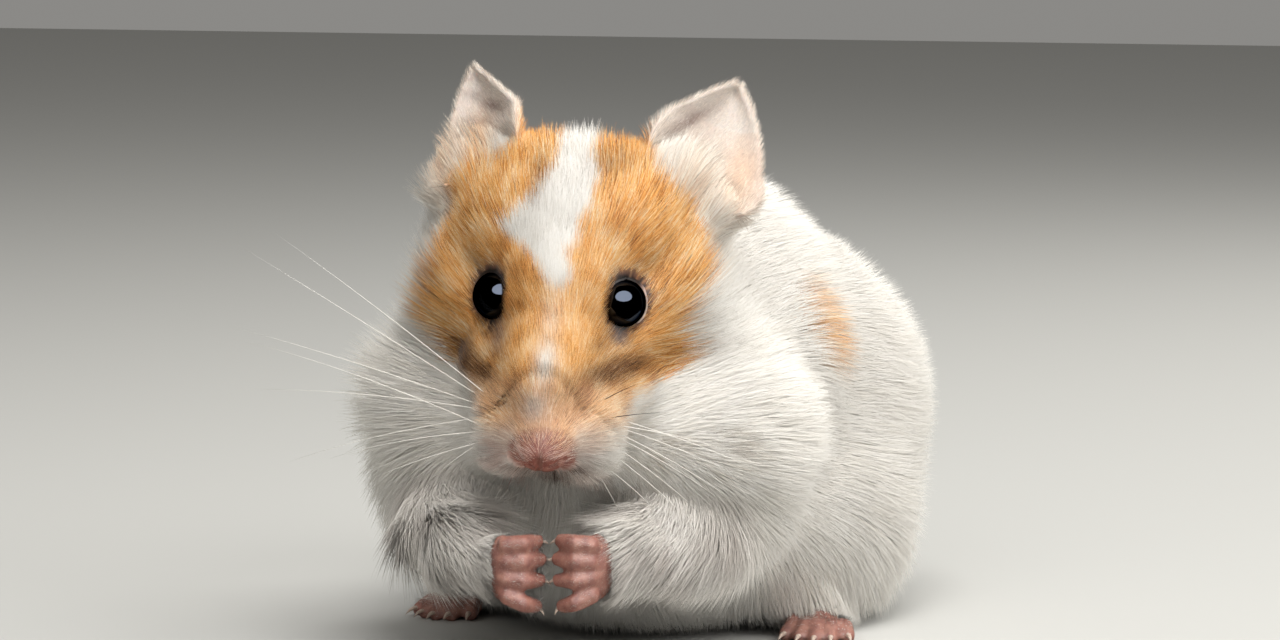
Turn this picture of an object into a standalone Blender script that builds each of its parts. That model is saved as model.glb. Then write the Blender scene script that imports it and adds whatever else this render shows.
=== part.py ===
"""A Syrian hamster, life size, crouched on the floor with its head turned and both hands at its mouth.

The animal faces -Y, its left side is +X and the floor is Z = 0. The head is shaped in a frame of its own, in
which it looks straight along -Y, and that frame is then turned, tipped and rolled into the pose. Every size
and place is in millimetres and every angle in degrees; MM turns them into Blender's metres.

The flesh is blocked out as overlapping egg-shaped masses. A voxel Remesh melts them into one smooth blank,
out to the tips of the coat, and thin cuts part that blank into the head, the neck, the trunk and the legs.
"""

import math

import bmesh
import bpy
from mathutils import Euler, Matrix, Vector

MM = 0.001
GAP = 0.3  # the clearance that parted pieces keep

# --------------------------------------------------------------------------------------------------- sizes
EYES_AT = (3, -46.8, 49)  # the point midway between the eyes, where the head's own frame starts
HEAD_YAW, HEAD_ROLL, HEAD_PITCH = 13, 2.5, 34  # turned to its left, leaning to its left, and nose down
EYE_APART, EYE_RADIUS = 16.2, 3.3
EYE_SINK = 0.6  # how far the eyes' centres lie behind the head frame's own start
EAR_WALL, EAR_CUP, EAR_SUNK = 1.0, 3.2, 3.5
EAR_SHAPES = {"left": (16.2, 0.04, 0.12), "right": (12.8, -0.1, 0.3)}  # width, lean, outer lobe
EARS = {  # root and tip
    "left": ((15.5, 20, 7), (19.8, 32.1, 12.1)),
    "right": ((-12.2, 18, 8.5), (-14.4, 29.6, 14.5)),
}
EAR_ACROSS = (0.80, -0.20, -0.55)  # from the left ear's inner edge to its outer one
NOSE_AT, NOSE_RADII = (0.4, -20.2, -8.8), (3.4, 2.5, 2.6)
TAIL_LENGTH, TAIL_RADIUS = 8, 2.2
FINGER_RADIUS, FINGER_STEP = 1.15, 2.35
TOE_RADIUS, FOOT_LENGTH = 1.25, 20
BALLS = {"smooth_ball": (32, 18), "plain_ball": (16, 9)}  # segments around and from pole to pole

# Each mass is (centre, radii) or (centre, radii, turn). One with a side is repeated on the other.
TRUNK_MASSES = {
    "haunches": ((0, 13, 28.5), (36.5, 32, 30.5)),
    "back": ((0, -2, 35), (30.5, 33, 28.8)),
    "shoulders": ((0, -25, 32), (29.5, 21, 23)),
    "pressed_shoulder": ((-17.5, -34, 35), (10, 13, 13)),
    "withers": ((0, -17, 42), (21.5, 20, 22.3)),
    "belly": ((0, -3, 17), (32, 35, 19.5)),
}
TRUNK_PAIRS = {
    "thigh": ((24, 4, 17), (12.5, 20, 19.5), (0, 0, -8)),
    "side": ((17, -28, 26), (15, 17, 18)),
}
NECK_MASSES = {"ruff": ((0, 19, -11), (23, 14, 15)), "nape": ((0, 20, -6.5), (16, 15, 11))}
HEAD_MASSES = {
    "skull": ((0, 13.5, 3.2), (15.8, 14.5, 11.2)),
    "brow": ((0, 4, 1.5), (8.2, 12, 8.2)),
    "bridge": ((0, -7, -2.6), (6.2, 12.5, 6.2)),
    "muzzle": ((0, -12, -8), (7, 9.8, 6)),
    "chin": ((0, -7.5, -13.8), (7.2, 9.5, 5.6)),
}
HEAD_PAIRS = {
    "whisker_pad": ((4.9, -14.2, -10.4), (5.1, 6.2, 6)),
    "jowl": ((6.2, -3.5, -8.6), (6.6, 11.5, 7)),
    "cheek": ((12, 10, -7.2), (9.6, 12.5, 11)),
    "pouch": ((14.5, 15, -8), (8.2, 11, 12)),
    "ear_mound": ((12.8, 19.5, 6.6), (6.2, 6, 5)),
}
# A leg is a run of (point, radius) that a tapered tube follows. The left and the right lie differently.
FORELEGS = {
    "left": (((17, -28, 24), 8), ((20, -39, 17.5), 6.6), ((13.6, -50.6, 15.6), 4.2), ((10, -54, 15.6), 3.6)),
    "right": (((-17, -30, 24), 8), ((-16.5, -47, 18), 6.4), ((-3.2, -57, 15.6), 4.2), ((0, -59, 15.6), 3.6)),
}
THIGH_CUT = ((27, 0, 15), (16, 25, 20), (0, 0, -8))  # what parts the left hind leg from the trunk
FORELEG_CUT = 1.4  # how far outside a foreleg's own tube it is parted from the chest
HEAD_CUT = ((0, -8, 0), (36, 34, 25))  # the egg that parts the head from the chest, in the head's frame
NECK_FRONT, NECK_BACK, NECK_HALF, NECK_LOW = 18, 27, 25, -21  # the neck's box, in the head's frame
HAND_CENTRES = {"left": (9.0, -55.4, 15.7), "right": (2.0, -58.2, 15.7)}
HAND_FACING = 20  # the hands' backs face this far round from the front, as the head does
FOOT_AT = {"left": (25.5, -1, 10), "right": (-25.5, -1, -10)}  # x, y and how far the toes turn out

COATS = {
    "white_coat": ((0.86, 0.83, 0.77), 0.8),
    "ginger_coat": ((0.72, 0.42, 0.19), 0.8),
    "pink_skin": ((0.78, 0.50, 0.44), 0.5),
    "ear_skin": ((0.75, 0.66, 0.58), 0.6),
    "black_eye": ((0.01, 0.01, 0.012), 0.05),
}

# ----------------------------------------------------------------------------------------------- materials


def make_materials():
    """One Principled material for each coat and skin."""
    made = {}
    for name, (colour, roughness) in COATS.items():
        material = bpy.data.materials.new(name)
        material.use_nodes = True
        shader = material.node_tree.nodes["Principled BSDF"]
        shader.inputs["Base Color"].default_value = (*colour, 1)
        shader.inputs["Roughness"].default_value = roughness
        shader.inputs["Metallic"].default_value = 0
        made[name] = material
    return made


# -------------------------------------------------------------------------------------------------- frames


def turned(angles):
    return Euler([math.radians(a) for a in angles]).to_matrix().to_4x4()


def placed(point):
    return Matrix.Translation(Vector(point) * MM)


def head_frame():
    """The head's own frame: it looks along -Y here, with its eyes at the start."""
    turn = Matrix.Rotation(math.radians(HEAD_YAW), 4, "Z")
    roll = Matrix.Rotation(math.radians(HEAD_ROLL), 4, "Y")
    pitch = Matrix.Rotation(math.radians(HEAD_PITCH), 4, "X")
    return placed(EYES_AT) @ turn @ roll @ pitch


def mirrored(mass):
    """The same mass on the other side."""
    centre, radii, *turn = mass
    other = [(-centre[0], *centre[1:]), radii]
    return other + [(turn[0][0], -turn[0][1], -turn[0][2])] if turn else other


# -------------------------------------------------------------------------------------------------- masses


def make_balls():
    """The balls that every mass and every cutter is scaled from."""
    for name, (around, down) in BALLS.items():
        bm = bmesh.new()
        bmesh.ops.create_uvsphere(bm, u_segments=around, v_segments=down, radius=1)
        mesh_from(name, bm)


def add_mass(bm, frame, centre, radii, turn=(0, 0, 0), ball="smooth_ball"):
    """One egg-shaped mass."""
    ball = bpy.data.meshes[ball].copy()
    scale = Matrix.Diagonal((*(r * MM for r in radii), 1))
    ball.transform(frame @ placed(centre) @ turned(turn) @ scale)
    bm.from_mesh(ball)
    bpy.data.meshes.remove(ball)


def add_masses(bm, frame, single, pairs):
    for mass in single.values():
        add_mass(bm, frame, *mass)
    for mass in pairs.values():
        add_mass(bm, frame, *mass)
        add_mass(bm, frame, *mirrored(mass))


def add_limb(bm, frame, run):
    """A tapered tube of close-set balls along a run of (point, radius)."""
    for (start, from_radius), (end, to_radius) in zip(run, run[1:]):
        start, end = Vector(start), Vector(end)
        steps = max(2, round((end - start).length / (0.4 * to_radius)))
        for i in range(steps + 1):
            share = i / steps
            radius = from_radius + (to_radius - from_radius) * share
            add_mass(bm, frame, start.lerp(end, share), (radius, radius, radius))


# ------------------------------------------------------------------------------------------------- objects


def link(name, mesh, collection):
    obj = bpy.data.objects.new(name, mesh)
    collection.objects.link(obj)
    return obj


def mesh_from(name, bm):
    mesh = bpy.data.meshes.new(name)
    bm.to_mesh(mesh)
    bm.free()
    return mesh


def frozen(obj, name):
    """The mesh that the object's modifiers make. The object itself is removed."""
    graph = bpy.context.evaluated_depsgraph_get()
    mesh = bpy.data.meshes.new_from_object(obj.evaluated_get(graph))
    mesh.name = name
    bpy.data.objects.remove(obj)
    return mesh


def melted(name, bm, collection, voxel, smoothing, share):
    """The masses melted into one smooth closed mesh, thinned to a share of its faces."""
    obj = link(name, mesh_from(name, bm), collection)
    remesh = obj.modifiers.new("melt", "REMESH")
    remesh.mode = "VOXEL"
    remesh.voxel_size = voxel * MM
    smooth = obj.modifiers.new("smooth", "SMOOTH")
    smooth.factor = 0.5
    smooth.iterations = smoothing
    thin = obj.modifiers.new("thin", "DECIMATE")
    thin.ratio = share
    return frozen(obj, name)


def grown(name, mesh, collection, by=GAP):
    """A copy of a mesh pushed out all over, as a cutter that leaves a gap."""
    obj = link(name, mesh.copy(), collection)
    push = obj.modifiers.new("push", "DISPLACE")
    push.strength = by * MM
    push.mid_level = 0
    return helper(link(name, frozen(obj, name), collection))


def helper(obj):
    """Marks a cutter, which isn't part of the animal."""
    obj.hide_render = True
    obj.display_type = "WIRE"
    return obj


def egg_cutter(name, collection, frame, centre, radii, turn=(0, 0, 0), by=0.0):
    bm = bmesh.new()
    add_mass(bm, frame, centre, [r + by for r in radii], turn, "plain_ball")
    return helper(link(name, mesh_from(name, bm), collection))


def box_cutter(name, collection, low, high, frame=Matrix(), by=0.0):
    bm = bmesh.new()
    bmesh.ops.create_cube(bm, size=1)
    low, high = Vector(low) - Vector((by,) * 3), Vector(high) + Vector((by,) * 3)
    size = Matrix.Diagonal((*((high - low) * MM), 1))
    bmesh.ops.transform(bm, matrix=frame @ placed((low + high) / 2) @ size, verts=bm.verts)
    return helper(link(name, mesh_from(name, bm), collection))


def make_node(name, mesh, material, collection, keep=(), cut=()):
    """A node: the shape, cut away by some cutters and kept only inside others."""
    obj = link(name, mesh.copy(), collection)
    obj.data.materials.clear()
    obj.data.materials.append(material)
    for operation, cutters in (("DIFFERENCE", cut), ("INTERSECT", keep)):
        for cutter in cutters:
            boolean = obj.modifiers.new(f"{operation.lower()}_{cutter.name}", "BOOLEAN")
            boolean.operation = operation
            boolean.object = cutter
            boolean.solver = "EXACT"
    obj.data.shade_smooth()
    return obj


# ---------------------------------------------------------------------------------------------------- body


def body_mesh(head, helpers):
    """All the flesh but the hands, feet, ears, nose and tail, as one blank."""
    bm = bmesh.new()
    add_masses(bm, Matrix(), TRUNK_MASSES, TRUNK_PAIRS)
    add_masses(bm, head, NECK_MASSES, {})
    add_masses(bm, head, HEAD_MASSES, HEAD_PAIRS)
    for run in FORELEGS.values():
        add_limb(bm, Matrix(), run[:-1])
    return melted("body_blank", bm, helpers, voxel=1.0, smoothing=14, share=0.032)


def arm_cutters(name, run, helpers):
    """A fatter tube along a foreleg, which parts it from the chest, and the same grown by the gap."""
    bm = bmesh.new()
    add_limb(bm, Matrix(), [(point, radius + FORELEG_CUT) for point, radius in run])
    mesh = melted(f"arm_{name}", bm, helpers, voxel=1.0, smoothing=6, share=0.03)
    return helper(link(f"arm_{name}", mesh, helpers)), grown(f"arm_{name}_room", mesh, helpers)


def ear_mesh(name, side, head, helpers):
    """A cupped, pointed leaf with a wall of one thickness, from a little inside the head to its tip."""
    root, tip = (Vector(p) for p in EARS[name])
    rise = (tip - root).normalized()
    across = Vector((side * EAR_ACROSS[0], *EAR_ACROSS[1:]))
    across = (across - rise * across.dot(rise)).normalized()
    facing = across.cross(rise) * side
    height = (tip - root).length + EAR_SUNK
    width, lean, lobe = EAR_SHAPES[name]
    bm = bmesh.new()
    bmesh.ops.create_grid(bm, x_segments=9, y_segments=9, size=1)
    for vert in bm.verts:
        outward, up = vert.co.x, (vert.co.y + 1) / 2
        half = width / 2 * math.sin(math.pi * 0.62 * max(1 - up, 0) ** 0.8) + 0.35
        bulge = 1 + lobe * max(0, outward) * math.sin(math.pi * min(1, up * 2.2))
        cup = EAR_CUP * outward**2 * (1 - 0.6 * up) - 1.2 * math.sin(math.pi * up)
        sideways = half * (outward * bulge + 2 * lean)
        point = across * sideways + rise * (up * height - EAR_SUNK) + facing * cup
        vert.co = (root + point) * MM
    if side < 0:
        bmesh.ops.reverse_faces(bm, faces=bm.faces)
    obj = link(f"ear_blank_{name}", mesh_from(f"ear_blank_{name}", bm), helpers)
    wall = obj.modifiers.new("wall", "SOLIDIFY")
    wall.thickness = EAR_WALL * MM
    wall.offset = 0
    mesh = frozen(obj, f"ear_blank_{name}")
    mesh.transform(head)
    return mesh


# ------------------------------------------------------------------------------------------ hands and feet


def hand_mesh(side, helpers):
    """A palm with four fingers curled inwards and a thumb nub, its back to the front."""
    frame = placed(HAND_CENTRES["left" if side > 0 else "right"])
    frame = frame @ Matrix.Rotation(math.radians(HAND_FACING), 4, "Z")
    bm = bmesh.new()
    add_mass(bm, frame, (side * 2.3, 0.6, 0), (2.3, 2.4, 4.3))
    add_limb(bm, frame, (((side * 2.6, 1.2, 0), 2.4), ((side * 4.6, 3.4, 0), 2.6), ((side * 6.5, 5.6, 0), 2.6)))
    for i in range(4):
        level = (1.5 - i) * FINGER_STEP
        droop = -0.35 * max(0, i - 1) ** 2
        reach = (2.2, 2.6, 2.5, 2.0)[i]
        knuckle = (side * 1.6, -1.5, level * 0.92)
        joint = (-side * 0.4, -1.9, level + droop * 0.5)
        tip = (-side * reach, 0.1, level + droop)
        radius = FINGER_RADIUS
        add_limb(bm, frame, ((knuckle, radius * 1.06), (joint, radius), (tip, radius * 0.82)))
    add_limb(bm, frame, (((side * 1.2, 1.6, 2.4), 1.2), ((-side * 0.9, 2.2, 2.9), 0.85)))
    return melted(f"hand_blank_{side}", bm, helpers, voxel=0.33, smoothing=2, share=0.05)


def foot_mesh(side, helpers):
    """A long flat foot with five toes spread forwards."""
    x, y, turn_out = FOOT_AT["left" if side > 0 else "right"]
    frame = placed((x, y, 0)) @ Matrix.Rotation(math.radians(turn_out), 4, "Z")
    bm = bmesh.new()
    heel, ball = FOOT_LENGTH * 0.35, -FOOT_LENGTH * 0.42
    add_limb(bm, frame, (((0, heel, 2.6), 2.8), ((0, ball, 1.5), 2.2)))
    for i in range(5):
        spread = (i - 2) / 2
        root = (spread * 2.0, ball + 0.8 * spread**2, 1.2)
        middle = (spread * 3.5, ball - 2.6 + 1.4 * spread**2, 1.7)
        tip = (spread * 4.3, ball - 5.6 + 2.3 * spread**2, 0.8)
        add_limb(bm, frame, ((root, TOE_RADIUS * 1.1), (middle, TOE_RADIUS), (tip, TOE_RADIUS * 0.8)))
    return melted(f"foot_blank_{side}", bm, helpers, voxel=0.4, smoothing=2, share=0.06)


def ball_mesh(name, frame, centre, radii):
    bm = bmesh.new()
    add_mass(bm, frame, centre, radii, ball="plain_ball")
    return mesh_from(name, bm)


def tail_mesh(helpers):
    """The short bare stub of a tail, low on the rump."""
    rump = TRUNK_MASSES["haunches"][0][1] + TRUNK_MASSES["haunches"][1][1]
    root, end = Vector((0, rump - 5, 13)), Vector((0, rump - 5 + TAIL_LENGTH, 8.5))
    bm = bmesh.new()
    add_limb(bm, Matrix(), ((root, TAIL_RADIUS), (end, TAIL_RADIUS * 0.55)))
    return melted("tail_blank", bm, helpers, voxel=0.4, smoothing=2, share=0.08)


# ------------------------------------------------------------------------------------------------ assembly


def settle():
    """Brings the origin to the middle of the animal's base."""
    graph = bpy.context.evaluated_depsgraph_get()
    points = []
    for obj in bpy.data.objects:
        if not obj.hide_render:
            points += [obj.matrix_world @ Vector(corner) for corner in obj.evaluated_get(graph).bound_box]
    middle = [(min(p[i] for p in points) + max(p[i] for p in points)) / 2 for i in range(2)]
    for obj in bpy.data.objects:
        obj.location = (-middle[0], -middle[1], 0)


def build():
    for obj in list(bpy.data.objects):
        bpy.data.objects.remove(obj)
    coats = make_materials()
    animal = bpy.data.collections.new("syrian_hamster")
    helpers = bpy.data.collections.new("cutters")
    for collection in (animal, helpers):
        bpy.context.scene.collection.children.link(collection)
    make_balls()
    head = head_frame()
    far = 200
    sides = (("left", 1), ("right", -1))

    body = body_mesh(head, helpers)
    body_room = grown("body_room", body, helpers)
    floor = box_cutter("floor", helpers, (-far, -far, -far), (far, far, 0))
    thighs, arms, eyes, sockets = {}, {}, {}, []
    for name, side in sides:
        thigh = THIGH_CUT if side > 0 else mirrored(THIGH_CUT)
        thighs[name] = [egg_cutter(f"thigh_{name}_{b}", helpers, Matrix(), *thigh, by=b) for b in (0, GAP)]
        arms[name] = arm_cutters(name, FORELEGS[name][:-1], helpers)
        eyes[name] = (side * EYE_APART / 2, EYE_SINK, 0)
        sockets.append(egg_cutter(f"socket_{name}", helpers, head, eyes[name], [EYE_RADIUS + GAP] * 3))
    nose_room = egg_cutter("nose_room", helpers, head, NOSE_AT, NOSE_RADII, by=GAP)
    head_egg, head_room = (egg_cutter(f"head_egg_{b}", helpers, head, *HEAD_CUT, by=b) for b in (0, GAP))
    behind_face = box_cutter("behind_face", helpers, (-far, NECK_FRONT, -far), (far, far, far), head)
    low, high = (-NECK_HALF, NECK_FRONT + GAP, NECK_LOW), (NECK_HALF, NECK_BACK, far)
    neck_box, neck_room = (box_cutter(f"neck_box_{b}", helpers, low, high, head, by=b) for b in (0, GAP))

    legs_room = [pair[1] for pair in (*thighs.values(), *arms.values())]
    arms_room = [pair[1] for pair in arms.values()]
    head_cuts = [*arms_room, behind_face, *sockets, nose_room]
    make_node("head", body, coats["ginger_coat"], animal, [head_egg], head_cuts)
    make_node("neck", body, coats["white_coat"], animal, [neck_box])
    make_node("trunk", body, coats["white_coat"], animal, cut=[head_room, neck_room, floor, *legs_room])
    make_node("nose", ball_mesh("nose", head, NOSE_AT, NOSE_RADII), coats["pink_skin"], animal)
    make_node("tail", tail_mesh(helpers), coats["pink_skin"], animal, cut=[body_room])
    for name, side in sides:
        make_node(f"hindleg_{name}", body, coats["white_coat"], animal, [thighs[name][0]], [floor])
        make_node(f"foreleg_{name}", body, coats["white_coat"], animal, [arms[name][0]], [thighs[name][1]])
        make_node(f"hand_{name}", hand_mesh(side, helpers), coats["pink_skin"], animal, cut=[body_room])
        make_node(f"foot_{name}", foot_mesh(side, helpers), coats["pink_skin"], animal, cut=[body_room, floor])
        make_node(f"ear_{name}", ear_mesh(name, side, head, helpers), coats["ear_skin"], animal, cut=[body_room])
        ball = ball_mesh(f"eye_{name}", head, eyes[name], [EYE_RADIUS] * 3)
        make_node(f"eye_{name}", ball, coats["black_eye"], animal)
    settle()


build()
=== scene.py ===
# %% [markdown]
# # A Syrian hamster, with a skin and a coat of mesh locks
# The frame holds the hamster as plain solids, out to the tips of its coat. This lesson dresses them: one skin, which
# lies a few millimetres inside, with its lids and nostrils, then the coat as some three hundred thousand thin locks of
# hair, and last whiskers, claws and eyes. Locks of real mesh are heavier than a hair system, but they survive an
# export to any other tool.

# %% The frame
from math import atan2, ceil, cos, exp, pi, radians, remainder, sin

import bmesh
import bpy
import numpy as np
from mathutils import Matrix, Vector
from mathutils.bvhtree import BVHTree
from mathutils.kdtree import KDTree


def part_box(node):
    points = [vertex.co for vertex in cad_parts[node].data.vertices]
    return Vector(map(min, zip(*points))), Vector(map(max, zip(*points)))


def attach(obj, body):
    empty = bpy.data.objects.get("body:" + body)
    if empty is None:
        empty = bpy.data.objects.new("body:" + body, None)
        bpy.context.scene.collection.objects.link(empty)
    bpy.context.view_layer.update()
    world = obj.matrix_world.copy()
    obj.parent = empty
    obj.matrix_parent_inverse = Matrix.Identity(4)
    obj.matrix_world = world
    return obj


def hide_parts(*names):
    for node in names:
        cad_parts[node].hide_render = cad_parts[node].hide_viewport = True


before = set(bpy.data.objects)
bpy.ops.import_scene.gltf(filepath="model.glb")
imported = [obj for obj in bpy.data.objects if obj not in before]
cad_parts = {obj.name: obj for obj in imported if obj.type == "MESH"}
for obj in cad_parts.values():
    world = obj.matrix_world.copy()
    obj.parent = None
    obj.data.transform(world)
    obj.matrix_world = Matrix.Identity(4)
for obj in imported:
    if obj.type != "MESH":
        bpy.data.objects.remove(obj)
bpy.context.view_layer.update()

MM = 0.001
rng = np.random.default_rng(7)

# %% [markdown]
# ## The head's own frame
# A face is easiest to describe looking straight ahead. The eyes' solids say where the head is, and the three angles of
# the pose say how it is turned, so every lid, whisker and marking below is given in the head's own millimetres: x to
# its left, -y forwards and z up. One more measure is handy for markings, the height on the face as seen from in front.

# %% The head's frame
HEAD_ANGLES = {"Z": 13, "Y": 2.5, "X": 34}  # turned, tilted and bowed, in degrees
FACE_LEAN = radians(40)
EYE_SINK, EYE_RADIUS = 0.6, 3.3
HEAD_TURN = Matrix.Identity(3)
for axis, angle in HEAD_ANGLES.items():
    HEAD_TURN = HEAD_TURN @ Matrix.Rotation(radians(angle), 3, axis)
eye_at = {side: sum(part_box(f"eye_{side}"), Vector()) / 2 for side in ("left", "right")}
head_start = (eye_at["left"] + eye_at["right"]) / 2 - HEAD_TURN @ Vector((0, EYE_SINK, 0)) * MM
TURN = np.array(HEAD_TURN)
START = np.array(head_start)
BODY_START = head_start - Vector((3, -46.8, 49)) * MM  # where the body's own millimetres start, on the floor


def to_head(points):
    """World points in metres, in the head's own millimetres."""
    return (np.asarray(points) - START) @ TURN / MM


def from_head(points):
    """The head's own millimetres, as world points in metres."""
    return np.asarray(points) * MM @ TURN.T + START


def head_way(*way):
    """A direction in the head's own frame, as one in the world."""
    return np.array(HEAD_TURN @ Vector(way))


def ease(value):
    """0 to 1, flat at both ends."""
    value = np.clip(value, 0, 1)
    return value * value * (3 - 2 * value)


def face_height(local):
    """How high a point of the head is, as seen from in front with the nose held down."""
    return local[..., 1] * sin(FACE_LEAN) + local[..., 2] * cos(FACE_LEAN)


print("eyes are", round((eye_at["left"] - eye_at["right"]).length / MM, 1), "mm apart")

# %% [markdown]
# ## The camera
# It is a long lens half a metre off, a little to the animal's left and a little above its eyes. It comes first,
# because the parts that it sees best are the parts worth the most hair.

# %% The camera
CAMERA_ROUND, CAMERA_ABOVE, CAMERA_OFF = radians(20), radians(6), 554.7


def placed(name, data):
    """A new object in the scene."""
    made = bpy.data.objects.new(name, data)
    bpy.context.scene.collection.objects.link(made)
    return made


camera = placed("camera", bpy.data.cameras.new("camera"))
camera.data.lens = 120
camera.data.sensor_width = 36
camera.data.clip_start = 0.01
ahead = Vector((-sin(CAMERA_ROUND) * cos(CAMERA_ABOVE), cos(CAMERA_ROUND) * cos(CAMERA_ABOVE), -sin(CAMERA_ABOVE)))
aside = Vector((cos(CAMERA_ROUND), sin(CAMERA_ROUND), 0))
above = aside.cross(ahead)
stand = head_start + (aside * 10.6 - above * 2.3 - ahead * CAMERA_OFF) * MM
camera.matrix_world = Matrix.Translation(stand) @ Matrix((aside, above, -ahead)).transposed().to_4x4()
bpy.context.scene.camera = camera
print("camera at", [round(c, 3) for c in camera.matrix_world.translation])

# %% [markdown]
# ## Light and floor
# Four soft lamps, the strongest high above, and a pale room all round give the bright back and the shaded cheek. One
# more lamp is a window that only glosses mirror: it gives each eye a single broad catch-light and leaves the rest of
# it black. The floor is a plain pale sheet.

# %% Light and floor
def add_lamp(name, place, size, power, colour, target=(0, -0.02, 0.035)):
    """A square lamp that faces the target."""
    data = bpy.data.lights.new(name, "AREA")
    data.energy, data.size, data.color = power, size, colour
    lamp = placed(name, data)
    facing = (Vector(target) - Vector(place)).to_track_quat("-Z", "Y")
    lamp.matrix_world = Matrix.Translation(Vector(place)) @ facing.to_matrix().to_4x4()
    return lamp


WARM = (1.0, 0.985, 0.96)
LAMPS = {
    "key_lamp": ((0.7, -0.14, 0.42), 0.55, 2.9, WARM), "top_lamp": ((0.2, -0.3, 0.85), 0.5, 7.3, WARM),
    "front_lamp": ((0.0, -0.72, 0.6), 0.5, 1.3, WARM), "back_lamp": ((0.35, 0.5, 0.5), 0.4, 2.6, (1.0, 0.98, 0.94)),
}
for name, lamp in LAMPS.items():
    add_lamp(name, *lamp).visible_glossy = False
window = add_lamp("window_lamp", (0.42, -0.6, 0.56), 1.3, 18, (1.0, 1.0, 1.0), target=head_start)
window.data.shape, window.data.size_y = "ELLIPSE", 0.8
window.visible_diffuse = False


def mesh_from(bm, name):
    """The bmesh as a mesh of its own."""
    mesh = bpy.data.meshes.new(name)
    bm.to_mesh(mesh)
    bm.free()
    return mesh


def settle(node, values):
    """Sets a node's own sockets."""
    for name, value in values.items():
        node.inputs[name].default_value = value
    return node


def new_material(name, values):
    """A material, its nodes and its shader with the shader's own values."""
    material = bpy.data.materials.new(name)
    material.use_nodes = True
    return material, material.node_tree, settle(material.node_tree.nodes["Principled BSDF"], values)


sheet = bmesh.new()
bmesh.ops.create_grid(sheet, x_segments=2, y_segments=2, size=2.0)
floor = placed("floor", mesh_from(sheet, "floor"))
floor.data.materials.append(new_material("pale_floor", {"Base Color": (0.52, 0.52, 0.5, 1), "Roughness": 0.85})[0])
floor.visible_glossy = False
room = bpy.data.worlds.new("room")
bpy.context.scene.world = room
room.use_nodes = True
settle(room.node_tree.nodes["Background"], {"Color": (0.92, 0.9, 0.86, 1), "Strength": 0.28})
room.cycles_visibility.glossy = False
bpy.context.scene.view_settings.view_transform = "Standard"

# %% [markdown]
# ## One skin over all the flesh
# The solids are parted by thin cuts, and a living skin has no seams. So the solids of the flesh are copied, swollen
# until the cuts close, and melted into one surface by a voxel Remesh. The bare parts are melted apart from the rest
# with a much finer voxel, because fingers, toes and ears are small. They overlap the body's skin where they join it.
# Between each arm and the chest, and under each ear, lies a fold of loose skin, which a small egg fills before melting.

# %% Melting the solids
SNOUT_MIDDLE, SNOUT_REACH = (0, -19, -13), 16
BODY_NODES = ("head", "neck", "trunk", "foreleg_left", "foreleg_right", "hindleg_left", "hindleg_right")


def swollen(nodes, swell):
    """The nodes' solids in one bmesh, each pushed outwards by swell millimetres."""
    joined = bmesh.new()
    for name in nodes:
        bm = bmesh.new()
        bm.from_mesh(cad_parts[name].data)
        bmesh.ops.remove_doubles(bm, verts=bm.verts, dist=1e-5)
        bm.normal_update()
        for vert in bm.verts:
            vert.co += vert.normal * swell * MM
        passed = mesh_from(bm, "passed")
        joined.from_mesh(passed)
        bpy.data.meshes.remove(passed)
    return joined


def with_folds(bm, folds):
    """Adds the eggs that fill the folds of loose skin, from their middles and half sizes."""
    for middle, half_sizes in folds:
        shape = Matrix.Translation(middle) @ Matrix.Diagonal((*half_sizes, 1))
        bmesh.ops.create_icosphere(bm, subdivisions=4, radius=1, matrix=shape)
    return bm


def as_seen(obj):
    """A new mesh of the object with its modifiers worked out."""
    return bpy.data.meshes.new_from_object(obj.evaluated_get(bpy.context.evaluated_depsgraph_get()))


def melted(bm, voxel, smoothing):
    """The bmesh as one smooth closed mesh."""
    obj = placed("melted", mesh_from(bm, "melted"))
    remesh = obj.modifiers.new("melt", "REMESH")
    remesh.mode, remesh.voxel_size = "VOXEL", voxel * MM
    obj.modifiers.new("smooth", "SMOOTH").iterations = smoothing
    done = as_seen(obj)
    bpy.data.objects.remove(obj)
    return done


def cut_away(bm, plane_at, behind, **keep):
    """Cuts the whole bmesh along a plane."""
    bmesh.ops.bisect_plane(bm, geom=bm.verts[:] + bm.edges[:] + bm.faces[:], plane_co=plane_at, plane_no=behind, **keep)


def snout_tip(swell, voxel, cut_at):
    """The muzzle and nose melted together finely, cut off behind and closed."""
    whole = melted(swollen(["head", "nose"], swell), voxel, 3)
    bm = bmesh.new()
    bm.from_mesh(whole)
    cut_away(bm, head_start + HEAD_TURN @ Vector((0, cut_at, 0)) * MM, HEAD_TURN @ Vector((0, 1, 0)), clear_outer=True)
    middle = Vector(from_head(SNOUT_MIDDLE))
    astray = [v for v in bm.verts if (v.co - middle).length > SNOUT_REACH * MM]
    bmesh.ops.delete(bm, geom=astray, context="VERTS")
    bmesh.ops.holes_fill(bm, edges=[e for e in bm.edges if e.is_boundary])
    return mesh_from(bm, "snout")


print("nodes in the body's skin:", len(BODY_NODES))

# %% [markdown]
# ## Hides
# Each melted piece is kept as a hide: its points and edges as arrays, so that a whole skin can be measured, smoothed
# and pressed at once. Smoothing moves each value towards the mean of its neighbours, over and over, which works for
# places, depths and directions alike.

# %% Hides
FINE_VOXEL = {"hand_left": 0.27, "hand_right": 0.27, "foot_left": 0.3, "foot_right": 0.3, "ear_left": 0.35,
              "ear_right": 0.35, "tail": 0.4}
BODY_SWELL, SNOUT_SWELL, BARE_SWELL = 0.25, 0.22, 0.05
BODY_VOXEL, SNOUT_VOXEL = 0.76, 0.27
SNOUT_CUT = -15.0
ARM_FOLDS, ARM_EGG = ((13.5, -46.5, 18.5), (-9.5, -49, 18.5)), (7, 6, 5.5)
EAR_FOLDS, EAR_EGG = ((18.2, 17, 1.5), (-17, 17.4, 2.6)), (4.2, 5, 5)
OVERLAP, TUCK = 1.2, 2.2
NAPE, NAPE_REACH, NAPE_LIFT = (11, 7, 57), 11, 2.2


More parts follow.
